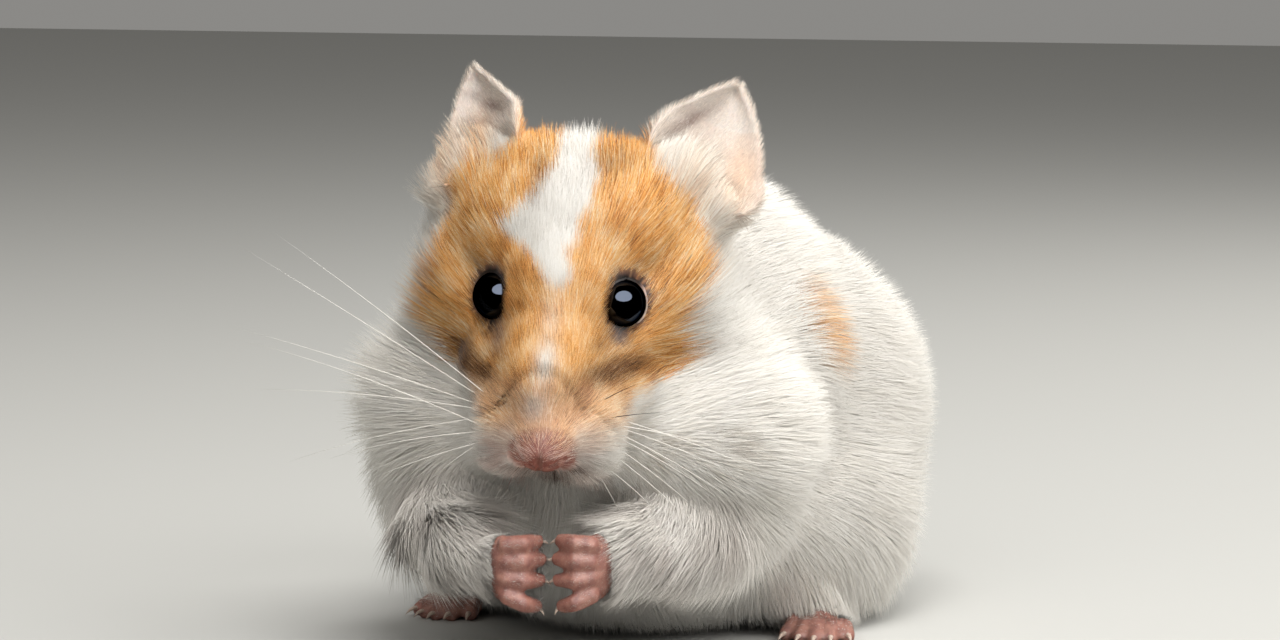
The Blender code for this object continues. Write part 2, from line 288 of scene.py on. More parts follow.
def read(items, key, width, kind=float):
    """One property of all a mesh's items, as an array with so many numbers in a row."""
    values = np.empty(len(items) * width, kind)
    items.foreach_get(key, values)
    return values.reshape(-1, width)


def lengths(rows):
    return np.linalg.norm(rows, axis=-1)


class Hide:
    """One closed piece of skin, with the arrays that shape it."""

    def __init__(self, name, mesh):
        self.name, self.mesh = name, mesh
        self.points = read(mesh.vertices, "co", 3)
        self.edges = read(mesh.edges, "vertices", 2, np.int32)
        self.degree = np.bincount(self.edges.ravel(), minlength=len(self.points))[:, None]

    def spread(self, values, times):
        """The values, each moved halfway towards the mean of its neighbours, so many times."""
        values = np.array(values, float).reshape(len(self.points), -1)
        first, second = self.edges.T
        for _ in range(times):
            total = np.empty_like(values)
            for i in range(values.shape[1]):
                total[:, i] = np.bincount(first, values[second, i], len(values))
                total[:, i] += np.bincount(second, values[first, i], len(values))
            values += 0.5 * (total / self.degree - values)
        return values

    def put(self, points):
        self.points = points
        self.mesh.vertices.foreach_set("co", points.ravel())
        self.mesh.update()

    def normals(self):
        return read(self.mesh.vertices, "normal", 3)

    def surface(self):
        """A tree that finds the nearest place on the hide."""
        return BVHTree.FromPolygons(self.points.tolist(), [p.vertices[:] for p in self.mesh.polygons])


folds = [(BODY_START + Vector(middle) * MM, [half * MM for half in ARM_EGG]) for middle in ARM_FOLDS]
folds += [(Vector(from_head(middle)), [half * MM for half in EAR_EGG]) for middle in EAR_FOLDS]
body = Hide("body", melted(with_folds(swollen(BODY_NODES, BODY_SWELL), folds), BODY_VOXEL, 3))
snout = Hide("snout", snout_tip(SNOUT_SWELL, SNOUT_VOXEL, SNOUT_CUT))
FURRY = [body, snout]
BARE_PARTS = [Hide(node, melted(swollen([node], BARE_SWELL), voxel, 2)) for node, voxel in FINE_VOXEL.items()]
under = body.surface()
for hide in BARE_PARTS:
    sunk = hide.points.copy()
    for i, point in enumerate(hide.points):
        _, outward, _, gap = under.find_nearest(point)
        if gap < OVERLAP * MM:
            sunk[i] -= np.array(outward) * TUCK * MM * ease(OVERLAP - gap / MM)
    hide.put(hide.points + hide.spread(sunk - hide.points, 3))
gap = lengths(body.points - np.array(BODY_START + Vector(NAPE) * MM)) / MM
body.put(body.points + np.exp(-((gap / NAPE_REACH) ** 2))[:, None] * np.array((0.4, 0.2, 1)) * NAPE_LIFT * MM)
print({hide.name: len(hide.points) for hide in FURRY + BARE_PARTS})

# %% [markdown]
# ## Trimming the ears
# Each ear's solid is a full oval leaf, but the inner edge of the ear runs nearly straight from its pointed tip down to
# the crown. So the skin's inner half is drawn in towards the ear's midline, by as much as its widest point stands
# outside that straight edge.

# %% Trimming the ears
EAR_LINES = {"left": ((15.5, 20, 7), (19.8, 32.1, 12.1)), "right": ((-12.2, 18, 8.5), (-14.4, 29.6, 14.5))}
EAR_TAPER = {"left": (0.62, 0.6, 6.4), "right": (0.74, 0.6, 5.6)}  # slope, half width at the tip, most
EARS = [hide for hide in BARE_PARTS if hide.name.startswith("ear")]
for hide in EARS:
    side = hide.name[4:]
    root, tip = (np.array(point) for point in EAR_LINES[side])
    tall = np.linalg.norm(tip - root)
    up = (tip - root) / tall
    inward = np.array((-1.0 if side == "left" else 1.0, 0, 0))
    inward = inward - (inward @ up) * up
    local = to_head(hide.points)
    along, across = (local - root) @ up, (local - root) @ inward
    levels = np.linspace(-4, tall + 1, 24)
    widest = [max(across[np.abs(along - level) < 0.7], default=1) for level in levels]
    slope, at_tip, most = EAR_TAPER[side]
    wanted = np.clip((tall - levels) * slope + at_tip, 0.4, most)
    share = np.interp(along, levels, np.clip(wanted / np.maximum(widest, 0.5), 0.3, 1))
    drawn = across * np.where(across > 0, share, 0.94) - across
    hide.put(from_head(local + inward * hide.spread(drawn, 4)))
    print(hide.name, "is", round(tall, 1), "mm tall and drawn in by up to", round(-drawn.min(), 1))

# %% [markdown]
# ## Sinking the skin under the coat
# Fur adds its own depth, so the skin has to lie inside the solids by as much. On the back that is three millimetres,
# on the face about one, and nearly nothing at the lids, lips, wrists and ears. The depth is eased from the nearest
# bare part outwards and then spread over the mesh, which keeps the sinking smooth.

# %% Which parts are bare
NOSE_HALF = (3.9, 3.4, 3.2)
nose_at = from_head(to_head(sum(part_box("nose"), Vector()) / 2) + (0, 0.3, 0.5))


def nose_gap(points):
    """0 at the middle of the nose, 1 at its edge, and more outside it."""
    return lengths((to_head(points) - to_head(nose_at)) / NOSE_HALF)


def tree_of(points):
    """A tree that finds the nearest of the points."""
    tree = KDTree(len(points))
    for i, point in enumerate(points):
        tree.insert(point, i)
    tree.balance()
    return tree


bare_solids = [read(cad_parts[name].data.vertices, "co", 3) for name in ("nose", "eye_left", "eye_right")]
bare_tree = tree_of(np.concatenate([hide.points for hide in BARE_PARTS] + bare_solids))
print("parts left bare:", len(BARE_PARTS))

# %% The forelegs' lines
FORELEG_LINES = {
    "left": ((20, -39, 17.5), (13.6, -50.6, 15.6), (10, -54, 15.6)),
    "right": ((-16.5, -47, 18), (-3.2, -57, 15.6), (0, -59, 15.6)),
}


def to_line(points, start, end):
    """How far each point lies from the straight line between two others."""
    run = end - start
    share = np.clip((points - start) @ run / (run @ run), 0, 1)
    return lengths(points - start - share[:, None] * run)


def near_foreleg(points):
    """The gap in millimetres to the nearer foreleg's line, and which way the foreleg runs there."""
    best = np.full(len(points), 1e9)
    way = np.zeros((len(points), 3))
    for line in FORELEG_LINES.values():
        places = [np.array(Vector(p) * MM + BODY_START) for p in line]
        for start, end in zip(places, places[1:]):
            gap = to_line(points, start, end) / MM
            closer = gap < best
            best[closer] = gap[closer]
            way[closer] = (end - start) / np.linalg.norm(end - start)
    return best, way


print("foreleg lines:", len(FORELEG_LINES))

# %% Sinking the furry skin
BACK_DEPTH, FACE_DEPTH, ARM_DEPTH = 3.0, 0.7, 2.0
for hide in FURRY:
    gap = np.array([bare_tree.find(p)[2] for p in hide.points]) / MM
    x, y, z = to_head(hide.points).T
    arm_gap, hide.arm_way = near_foreleg(hide.points)
    hide.on_head = ease((25 - y) / 10) * ease((z + 25) / 6) * ease((arm_gap - 9.5) / 2.5)
    hide.on_arm = ease((10 - arm_gap) / 3.5) * (1 - hide.on_head)
    side_of_face = ease((np.abs(x) - 10) / 6) * ease((4 - z) / 8) * ease((y + 14) / 10)
    depth = FACE_DEPTH + 0.45 * ease((y + 14) / 14) + 1.3 * side_of_face + 0.9 * ease((y - 8) / 10)
    depth = BACK_DEPTH * (1 - hide.on_head) + depth * hide.on_head
    elbow = ease((head_start.x / MM - 15 - hide.points[:, 0] / MM) / 5)
    depth = depth * (1 - hide.on_arm) + (ARM_DEPTH + 1.6 * elbow) * hide.on_arm
    depth = depth * (0.14 + 0.86 * ease((gap - 0.2) / 4.5))
    hide.depth = hide.spread(depth, 12)[:, 0]
    from_cut = SNOUT_CUT - y
    if hide is body:
        keep = ((0.8 * hide.on_head + 0.1) * ease(1.4 - gap / 12))[:, None]
        hide.put(hide.points * keep + hide.spread(hide.points, 40) * (1 - keep))
        filling = hide.spread(hide.points, 220) - hide.points
        hollow = np.sum(filling * hide.normals(), axis=1) / MM
        share = ease(hollow / 1.2) * ease((gap - 3) / 4) * ease((y + 4) / 8) * (1 - hide.on_arm)
        hide.put(hide.points + filling * share[:, None])
        extra = 1.3 * ease((from_cut - 0.6) / 1.6) * hide.on_head
    else:
        extra = 0.65 * ease(1 - from_cut / 2.2)
    hide.put(hide.points - hide.spread(hide.normals(), 4) * (hide.depth + extra)[:, None] * MM)
    print(hide.name, "lies", round(hide.depth.min(), 2), "to", round(hide.depth.max(), 2), "mm under the coat's tips")

# %% [markdown]
# ## Eyelids
# A hamster's eye is nearly half a ball, so the lids are only a thin dark rim round it, drawn out to a point at the
# inner corner where the tear duct is. The skin is pressed back behind the ball first. The rim is then a ring of a few
# turns, each a circle of points on the ball's own directions, bridged into a small rolled edge.

# %% Eyelids
GAZE_OUT, GAZE_UP = radians(46), radians(8)
LID_OPEN = radians(84)
CORNER_TURN = radians(-42)
LID_STEPS = 56
CORNER_WIDTH = 0.46


def eye_frame(side):
    """The eye's own directions: where it looks, up, and towards the nose."""
    out = 1 if side == "left" else -1
    gaze = HEAD_TURN @ Vector((out * sin(GAZE_OUT) * cos(GAZE_UP), -cos(GAZE_OUT) * cos(GAZE_UP), sin(GAZE_UP)))
    inner = HEAD_TURN @ Vector((-out, -0.35, 0))
    inner = (inner - gaze * inner.dot(gaze)).normalized()
    upper = gaze.cross(inner) * out
    if upper.dot(HEAD_TURN @ Vector((0, 0, 1))) < 0:
        upper = -upper
    return gaze, upper, inner


def covering(turn):
    """1 where the lower outer lid reaches furthest over the ball."""
    off = (turn - radians(233) + pi) % (2 * pi) - pi
    return np.exp(-((off / radians(66)) ** 2))


def round_eye(points, side):
    """Each point's gap to the eyeball and how far in front of its middle it is, in millimetres, and its turn."""
    gaze, upper, inner = (np.array(v) for v in eye_frame(side))
    off = (points - np.array(eye_at[side])) / MM
    return lengths(off) - EYE_RADIUS, off @ gaze, np.arctan2(off @ upper, off @ inner)


def in_corner(points, side, reach):
    """1 in the dark wedge that the eye's inner corner draws over the skin, as far as it reaches in millimetres."""
    gap, in_front, turn = round_eye(points, side)
    turn = (turn - CORNER_TURN + pi) % (2 * pi) - pi
    return np.exp(-((turn / CORNER_WIDTH) ** 2)) * ease((reach - gap) / 0.9) * (in_front > -2)


def lid_ring(bm, side, height, wider, corner):
    """One ring of points round the eye: its height over the ball, angle outside the lid's edge and drawn-out corner."""
    gaze, upper, inner = eye_frame(side)
    ring = []
    for step in range(LID_STEPS):
        turn = 2 * pi * step / LID_STEPS
        edge = LID_OPEN - radians(5) * cos(2 * turn) - radians(41) * covering(turn)
        angle = edge + radians(wider) * (1 + covering(turn))
        drawn = corner * exp(-((remainder(turn - CORNER_TURN, 2 * pi) / 0.4) ** 2))
        around = inner * cos(turn) + upper * sin(turn)
        way = gaze * cos(angle) + around * sin(angle)
        raised = height + 0.03 * covering(turn) * (height > 0.1)
        ring.append(bm.verts.new(eye_at[side] + (way * (EYE_RADIUS + raised + drawn) + gaze * 0.45 * drawn) * MM))
    return [bm.edges.new(pair) for pair in zip(ring, ring[1:] + ring[:1])]


LID_RINGS = ((-0.12, 3, 0), (0.04, -1, 0), (0.2, 1, 1.1), (0.36, 5, 1.5), (0.36, 10, 1.9), (0.12, 16, 2.1),
             (-0.35, 22, 2.1), (-0.4, 10, 0.8))
lids = bmesh.new()
for side in eye_at:
    rings = [lid_ring(lids, side, *ring) for ring in LID_RINGS]
    for first, second in zip(rings, rings[1:] + rings[:1]):
        bmesh.ops.bridge_loops(lids, edges=first + second)
bmesh.ops.recalc_face_normals(lids, faces=lids.faces)
lid_mesh = mesh_from(lids, "lids")

points = body.points.copy()
for side, eye in eye_at.items():
    gaze = np.array(eye_frame(side)[0])
    off = points - np.array(eye)
    gap = lengths(off) / MM
    angle = np.degrees(np.arccos(np.clip(off @ gaze / (gap * MM + 1e-9), -1, 1)))
    wanted = np.where(angle < 88, EYE_RADIUS - 0.9, EYE_RADIUS + 0.1)
    press = ease((104 - angle) / 10) * ease((EYE_RADIUS + 2.6 - gap) / 1.2) * (gap < EYE_RADIUS + 2.6)
    target = gap + (wanted - gap) * press
    points = np.array(eye) + off * (target / np.maximum(gap, 1e-6))[:, None]
body.put(points)
print("lid points:", len(lid_mesh.vertices))

# %% [markdown]
# ## Nose, nostrils and mouth
# The nose pad is a soft pink button, split by a groove that runs down into the upper lip. Two commas, the nostrils,
# lie beside it. They could be cut with Booleans, but skin has no sharp edges there, so the skin is pressed in along
# soft-edged lines instead, as a thumb would press clay.

# %% Nose, nostrils and mouth
def press_line(hide, start, end, radius, deep):
    """Presses a groove along a line given in the head's millimetres, with soft edges."""
    gap = to_line(to_head(hide.points), np.array(start, float), np.array(end, float))
    hide.put(hide.points - hide.spread(hide.normals(), 3) * (np.exp(-((gap / radius) ** 2)) * deep * MM)[:, None])


lifted = ease(1.8 - nose_gap(snout.points))[:, None] * head_way(0, 0.3, 0.6) * MM
snout.put(snout.points + lifted)
merge = ease((2.3 - nose_gap(snout.points)) / 0.7) * ease((face_height(to_head(snout.points)) + 21) / 2.5)
snout.put(snout.points + (snout.spread(snout.points, 60) - snout.points) * merge[:, None])
for hide in FURRY:
    press_line(hide, (-9.5, -15.5, -12.5), (-5.2, -17.5, -15.5), 2.6, 0.9)
x, y, z = to_head(nose_at)
press_line(snout, (x - 0.3, y - 2.6, z + 0.4), (x - 0.3, y - 1.4, z - 3), 0.32, 0.6)
for out in (-1, 1):
    press_line(snout, (x + out * 1.2, y - 2.4, z - 0.9), (x + out * 2.6, y - 1, z - 0.2), 0.4, 0.8)
    press_line(snout, (x, y, z - 3.4), (x + out * 4.4, y + 3, z - 5.4), 0.45, 0.8)
skin_trees = [hide.surface() for hide in FURRY]
print("snout points:", len(snout.points))

# %% [markdown]
# ## The lie of the coat
# Hair grows back from the nose on the whole head, down and back along the body, and towards the paw on each leg. The
# lie is worked out for every point of the skin and then spread over the mesh, so that it turns smoothly where two
# directions meet. With it go the length, width and lift of a lock there, and how many grow on a square millimetre.

# %% The lie of the coat
BACK_LIFT = 12.5
COVER, SPARSEST, DENSEST = 9.5, 5.5, 60
THINNEST, THICKEST = 0.08, 0.155
SHORTEST, LONGEST = 1.0, 7.6
NOSE_TIP = to_head(nose_at) + (0, 0.5, -0.5)
ear_tree = tree_of(np.concatenate([hide.points for hide in EARS]))


def onto_skin(ways, normals):
    """Each way, laid flat on the skin and made one long."""
    flat = ways - np.sum(ways * normals, axis=1)[:, None] * normals
    return flat / (lengths(flat)[:, None] + 1e-9)


class Coat:
    """What the coat is like at each point of one hide, with lengths in millimetres and the lift in degrees."""

    def __init__(self, hide, way, length, width, lift, density, bent=0.0, clump=0.4):
        self.hide = hide
        self.normals = hide.normals()
        way = onto_skin(np.broadcast_to(way, self.normals.shape), self.normals)
        self.way = onto_skin(hide.spread(way, 16), self.normals)
        full = np.ones(len(hide.points))
        self.fields = np.column_stack([full * f for f in (length, width, lift, density, bent, clump)])


def furry_way(hide, normals, local):
    """Which way the hair lies on the body or the snout: back along the body, from the nose on the head."""
    x_side = np.sign(hide.points[:, :1] - head_start.x)
    back = np.array((0, 1.0, 0)) + np.abs(normals[:, 1:2]) * np.array((0, 0, -1.2))
    back = back + np.clip(-normals[:, 1:2], 0, 1) * x_side * np.array((0.5, 0, 0))
    back = back + ease((0.026 - hide.points[:, 2]) / 0.02)[:, None] * np.array((0, -0.2, -0.7))
    from_nose = (local - NOSE_TIP) @ TURN.T
    from_nose /= lengths(from_nose)[:, None]
    on_head, on_arm = hide.on_head[:, None], hide.on_arm[:, None]
    way = back * (1 - on_head) + from_nose * on_head
    return way * (1 - on_arm) + (hide.arm_way + np.array((0, 0, -0.8))) * on_arm


def furry_coat(hide):
    """The coat of the body's or the snout's skin."""
    normals, local = hide.normals(), to_head(hide.points)
    x, y, z = local.T
    on_head, on_arm, height = hide.on_head, hide.on_arm, face_height(local)
    to_ear = np.array([ear_tree.find(p)[2] for p in hide.points]) / MM
    outside = ease((np.abs(x) - 14) / 3)
    by_ear = ease((3.6 + 2.4 * outside - to_ear) / 3)
    cheek = on_head * ease((np.abs(x) - 8) / 5) * ease((-7 - height) / 4) * ease((y + 13) / 5)
    chin = on_head * ease((-17 - height) / 3) * ease((y + 14) / 3)
    lift = BACK_LIFT + 3.5 * on_head + 2 * by_ear
    length = hide.depth * (0.68 + 0.14 * on_head) / np.sin(np.radians(lift))
    length = np.clip(length, SHORTEST, LONGEST) + 2.2 * np.maximum(cheek, chin) + (0.7 + 0.3 * outside) * by_ear
    hollow = np.sum((hide.spread(hide.points, 25) - hide.points) * normals, axis=1) / MM
    hollow = ease(hollow / 0.6) * (1 - on_head)
    on_face = on_head * ease((6 - y) / 8)
    length, lift = length * (1 - 0.3 * hollow) + 0.6 * on_arm, lift + 3 * on_arm + 24 * hollow
    width = np.clip(0.062 + 0.016 * length, THINNEST, THICKEST) * (1 - 0.18 * on_face) * (1 - 0.2 * on_arm)
    seen = ease(0.8 + 1.4 * (normals @ -np.array(ahead)))
    density = np.clip(COVER / (length * width), SPARSEST, DENSEST) * (0.6 + 0.4 * seen)
    density = density * (1 + 1.2 * on_face + 0.5 * on_arm)
    if hide is snout:
        on_nose = ease((1.4 - nose_gap(hide.points)) / 0.5)
        by_lip = ease((-16 - height) / 3)
        length = np.maximum(length, 1.7 + 1.1 * by_lip) - 1.0 * on_nose
        lift = lift + 8 * by_lip * (1 - on_nose)
        density = np.clip(density, 0, 38) * (1 - 0.93 * on_nose * ease((-19.8 - height) / 1.2))
        density = density * (y < SNOUT_CUT - 0.3) * ease((hide.normals() @ TURN)[:, 1] * -3 + 2.6)
        length = np.clip(length, 0.6, 9)
    else:
        density = density * ((y > SNOUT_CUT - 0.6) | (on_head < 0.5) | (z < -19))
        for side in eye_at:
            gap, in_front, turn = round_eye(hide.points, side)
            on_lid = (in_front > -0.16 * (gap + EYE_RADIUS)) & (gap < 1.5 - 1.0 * covering(turn + 0.9))
            density = density * ~on_lid * (1 - in_corner(hide.points, side, 4.2))
    print(hide.name, "locks are", round(length.min(), 1), "to", round(length.max(), 1), "mm long")
    bent = np.maximum(np.maximum(cheek, chin), on_arm)
    clump = 0.18 + 0.02 * (1 - on_head) - 0.1 * on_arm
    return Coat(hide, furry_way(hide, normals, local), length, width, lift, density, bent, clump)


coats = [furry_coat(hide) for hide in FURRY]

# %% The lie of the coat on the bare parts
FOOT_WAYS = {"left": (0.17, -1, -0.1), "right": (-0.17, -1, -0.1)}
EAR_WAYS = {"left": (0.55, 0.72, 0.42), "right": (-0.28, 0.78, 0.55)}
EAR_DROOP = {"left": 0.6, "right": 0.2}
for hide in BARE_PARTS:
    part, _, side = hide.name.partition("_")
    normals, y = hide.normals(), hide.points[:, 1]
    low, high = y.min(), y.max()
    if part == "ear":
        lean = head_way(*EAR_WAYS[side])
        along = (hide.points - hide.points.mean(0)) @ lean
        base = ease((np.median(along) - along) / (0.35 * np.ptp(along)))
        way = lean + (base * EAR_DROOP[side])[:, None] * head_way(0, 0.3, -1.1)
        rim = ease(2.5 - 2.5 * lengths(hide.spread(normals, 12)))
        coats.append(Coat(hide, way, 0.9 + 0.5 * rim + 1.0 * base, 0.08 + 0.02 * base, 14 + 12 * rim, 28 - 6 * base))
    elif part == "hand":
        wrist = ease((y - low) / (high - low) * 1.6 - 0.35)
        coats.append(Coat(hide, (0.1, -1.0, 0), 0.6 + 1.0 * wrist, 0.07 + 0.03 * wrist, 22, 7 + 14 * wrist))
    elif part == "foot":
        heel = ease((y - low) / (high - low) * 1.5 - 0.2) * ease(normals[:, 2] + 0.3)
        coats.append(Coat(hide, FOOT_WAYS[side], 0.8 + 1.6 * heel, 0.12, 20, 0.5 + 14 * heel))
    else:
        coats.append(Coat(hide, (0, 1.0, -0.2), 2.2, 0.16, 22, 9))
print({coat.hide.name: round(float(coat.fields[:, 3].mean()), 1) for coat in coats})

# %% [markdown]
# ## The markings
# A banded, blazed golden hamster is white with a golden mask. The mask is described by its edges on the face, a few
# widths at a few heights, and each edge is roughened by slow waves of noise so that no border is a clean line. Soft
# oval patches add the brown flashes, the grey shades and the pale spots. Some of the patches and greys are painted
# shade: dark in the mouth's crease and the groove under the nose, a warm tint in front of the left ear, and grey low on
# the front of the body and on the forelegs. The same function colours the skin and every lock, so the coat's roots and
# the skin below them agree.

# %% The markings
WAVES = rng.normal(size=(3, 24))
PHASES = rng.uniform(0, 2 * pi, 24)


def ripple(points, size):
    """Slow noise, about -1 to 1, with waves of a size in millimetres."""
    return np.sin(points @ (WAVES * (1.6 / size)) + PHASES).sum(axis=1) / 3.5


def patch(local, across, up, wide, tall, slope, strength):
    """A soft oval patch on the face: its middle and half sizes across and up, how far it slopes, its strength."""
    across, up = local[:, 0] - across, face_height(local) - up
    turned_across = across * cos(slope) + up * sin(slope)
    turned_up = up * cos(slope) - across * sin(slope)
    return strength * np.exp(-((turned_across / wide) ** 2) - (turned_up / tall) ** 2)


def strongest(local, patches):
    """The strongest of several patches at each point."""
    return np.max([patch(local, *one) for one in patches], axis=0)


def inside_edges(across, height, heights, left, right):
    """How far each point lies inside a marking's left and right edges, and negative outside it."""
    return np.minimum(across - np.interp(height, heights, left), np.interp(height, heights, right) - across)


# heights on the face, and how far the marking reaches there to the animal's right and left
BLAZE = (
    (0, 5.5, 7.8, 10, 13, 16.4, 20, 23, 40), (0.4, -2.6, -6.8, -8.2, -4.8, -2, -1.4, -2, -3),
    (0.9, 2, 2.4, 2.8, 4.2, 4.2, 3, 3.2, 4),
)
MASK = (
    (-20.5, -19, -15.5, -12.5, -10.5, -6.6, -1, 4.6, 10, 15, 18.5, 20.5, 24),
    (-2, -7.5, -8.6, -8.8, -10, -17, -20, -18.6, -16.6, -17, -15, -8.4, -7.4),
    (3, 8.5, 10.5, 10.8, 12, 17.8, 18, 19.5, 18.4, 16, 11.5, 10.5, 9.5),
)
# across, up, half width, half height, slope and strength
# The four low middle patches, at heights -20 to -22.7, are painted shade in the mouth's crease and the groove under the
# nose; the rest are dark marks of the coat.
DARK_PATCHES = (
    (-12, -7.6, 4.6, 2.0, -0.6, 1.3), (-9, -9.4, 2.2, 1.4, -0.4, 1.5), (8.6, -8.2, 3.6, 1.6, 0.4, 1.4),
    (14.5, -6, 5, 1.1, 0.25, 0.5), (0.8, -22.7, 3.6, 1.0, 0, 0.95), (-2.9, -22, 2.4, 0.7, -0.15, 0.9),
    (4.6, -21.6, 2.2, 0.8, 0.1, 1.0), (0.5, -20, 0.4, 1.7, 0, 0.45), (-11.3, 4.9, 2.2, 1.1, -0.5, 0.5),
    (11.8, 6.4, 2.4, 1.0, 0.5, 0.38), (-3.3, 17.5, 1.3, 3.2, 0.1, 0.5), (5.6, 19.2, 3.2, 2.4, 0.4, 0.6),
    (-7.6, -5.8, 2.0, 2.8, 0.2, 0.62), (6.4, -5.6, 1.5, 1.7, 0, 0.5),
)
GREY_PATCHES = (
    (-3.6, 14, 0.7, 1.6, -0.2, 0.7), (-6.8, -5, 0.9, 2.4, 0.1, 0.5), (8.3, -4.6, 1.2, 1.4, 0, 0.4),
    (-11.8, 25.6, 1.9, 0.8, -0.3, 0.9), (-14.6, 26.8, 1.3, 0.7, -0.3, 0.6), (-15, 22.4, 0.9, 1.3, 0, 0.75),
    (14.6, 25, 3.3, 0.8, 0.65, 0.85), (7.0, -19.5, 2.2, 1.4, 0, 0.3), (-6.6, -19.5, 2.6, 1.6, 0, 0.4),
    (-8.6, 3.4, 2.2, 1.4, 0, 0.45), (8.7, 4, 2.4, 1.2, 0, 0.35),
)
PALE_PATCHES = (
    (0.4, -7.8, 1.3, 2.6, 0, 0.95), (-0.7, -13.3, 1.4, 2.0, -0.3, 0.7), (0.4, -2.5, 1.4, 3.5, 0, 0.35),
    (-10.5, -15.5, 1.4, 3.5, 0, 0.7), (12, -15, 2, 2.6, 0, 0.8), (6, -20.5, 3.5, 1.6, 0, 0.9),
    (-6, -21, 4, 1.6, 0, 0.9),
)
# The patch at (16, 15), in front of the left ear, is painted shade in a warm tint.
GINGER_PATCHES = (
    (21.5, 18, 3.4, 6, 0, 0.45), (16, 15, 4, 7, 0, 0.42), (-13.4, 19.5, 2.4, 5, 0, 0.75),
    (-17.8, 18.5, 2.6, 6, 0, 0.5),
)
FLANK_SPOT, FLANK_SPOT_HALF = (27.5, -5.5, 45.5), (5, 3.5, 6.5)


def markings_and_shade(points):
    """How ginger, dark, grey and pink the coat is at world points, each 0 to 1, with some painted shade among them."""
    local = to_head(points)
    x, y, z = local.T
    true_height = face_height(local)
    height = true_height + 0.35 * ripple(local, 4)
    across = x + 0.35 * ripple(local + 31, 2.2)
    mask = inside_edges(across, height, *MASK)
    mask = ease(0.5 + mask / 2.6) * ease((height + 21) / 2.5) * ease((27 - y) / 5)
    under = ease((z + 14.5 - 0.35 * np.clip(y, -30, 5)) / 5)
    blaze = ease(0.5 + inside_edges(across, height, *BLAZE) / 1.3) * ease(height / 2.5)
    from_middle = np.abs(x - 0.6)
    pads = ease((-14.2 - height) / 4.5) * ease((from_middle - 3) / 1.5) * (y < -9) * (height > -24.5)
    ginger = mask * under * (1 - blaze) * (1 - strongest(local, PALE_PATCHES)) * (1 - 0.7 * pads)
    ginger = ginger * (1 - 0.22 * ease((-8 - height) / 5))
    ginger = np.maximum(ginger, strongest(local, GINGER_PATCHES) * (y < 27))
    front = np.where(true_height > 22, y < 34, ease((20 - y) / 6))
    dark, grey = front * strongest(local, DARK_PATCHES), front * strongest(local, GREY_PATCHES)
    world = (points - np.array(BODY_START)) / MM
    spot = (world - FLANK_SPOT) / FLANK_SPOT_HALF
    ginger = np.maximum(ginger, 0.8 * ease(1.4 - lengths(spot) + 0.25 * ripple(world, 5)))
    low_shade = ease((26 - world[:, 2]) / 16) * ease((-15 - world[:, 1]) / 20)
    on_arm = ease((10 - near_foreleg(points)[0]) / 4) * (z < -16)
    top = -14 - 1.4 * ease((x - 1) / 1.5) - 0.25 * from_middle
    pink = ease((top - height) / 4.5) * ease((5.4 - from_middle) / 2.4) * ease((height + 22.4) / 0.8) * (y < -14)
    outwards = np.where(x > 0, 8.5, 11) - from_middle
    # The first two greys are painted shade, darker low on the front of the body and on the forelegs under the head; the
    # third is pinkish-grey hair on the pads near the nose.
    for shade in (
        0.2 * low_shade * (0.7 + 0.5 * ripple(world, 4)),
        on_arm * (0.34 + 0.12 * ripple(world, 3)),
        0.25 * pads * ease((outwards - 1) / 4) * (1 + 0.7 * ripple(local + 9, 1.2)),
    ):
        grey = np.maximum(grey, shade)
    pink = np.maximum(pink, 0.3 * pads * ease(outwards / 4) * (1 + 0.5 * ripple(local, 1.5)))
    pink = np.maximum(pink, patch(local, 0.2, -14.5, 4.5, 3.2, 0, 0.3) * (y < -12))
    for side in eye_at:
        gap, _, turn = round_eye(points, side)
        dark = np.maximum(dark, ease((1.5 - 0.6 * covering(turn) - gap) / 0.8) * (y < 9))
        dark = np.maximum(dark, in_corner(points, side, 3.4))
    return np.clip(np.column_stack([ginger, dark, grey, pink * (1 - dark)]), 0, 1)


print("share of ginger on the skin:", round(float(markings_and_shade(body.points)[:, 0].mean()), 3))

# %% [markdown]
# ## Joining the skin
# The melted pieces and the lids become one mesh, so one object stands for all the flesh. Each point carries its
# marking, and how bare it is: about 1 on the nose, paws, tail and lids, where skin shows, a quarter on the thinly
# haired ears, and 0 under the fur. A pale band on the lower outer edge of each lid is a painted highlight, the glint of
# its wet edge, full on the left eye and a quarter as strong on the right.

# %% Joining the skin
BARENESS = {"tail": 0.8, "ear_left": 0.25, "ear_right": 0.25}
PAW_BARENESS = 0.9
LOWEST = (-np.inf, -np.inf, 0.02 * MM)


def add_floats(mesh, name, values):
    layer = mesh.attributes.new(name, "FLOAT", "POINT")
    layer.data.foreach_set("value", np.asarray(values, np.float32))


def add_colours(mesh, name, values):
    layer = mesh.attributes.new(name, "FLOAT_COLOR", "POINT")
    layer.data.foreach_set("color", np.asarray(values, np.float32).ravel())


def bareness(hide):
    """How bare a hide is at each point."""
    if hide is snout:
        return ease((1.35 - nose_gap(hide.points)) / 0.4)
    if hide is body:
        to_eye = np.min([lengths(hide.points - np.array(eye)) for eye in eye_at.values()], axis=0) / MM
        return ease((EYE_RADIUS + 0.9 - to_eye) / 0.5)
    return np.full(len(hide.points), BARENESS.get(hide.name, PAW_BARENESS))


joined = bmesh.new()
bare, marks = [], []
for hide in FURRY + BARE_PARTS:
    hide.put(np.maximum(hide.points, LOWEST))
    joined.from_mesh(hide.mesh)
    bare.append(bareness(hide))
    marks.append(markings_and_shade(hide.points))
joined.from_mesh(lid_mesh)
step = np.arange(len(lid_mesh.vertices))
turn = step % LID_STEPS * 360 / LID_STEPS
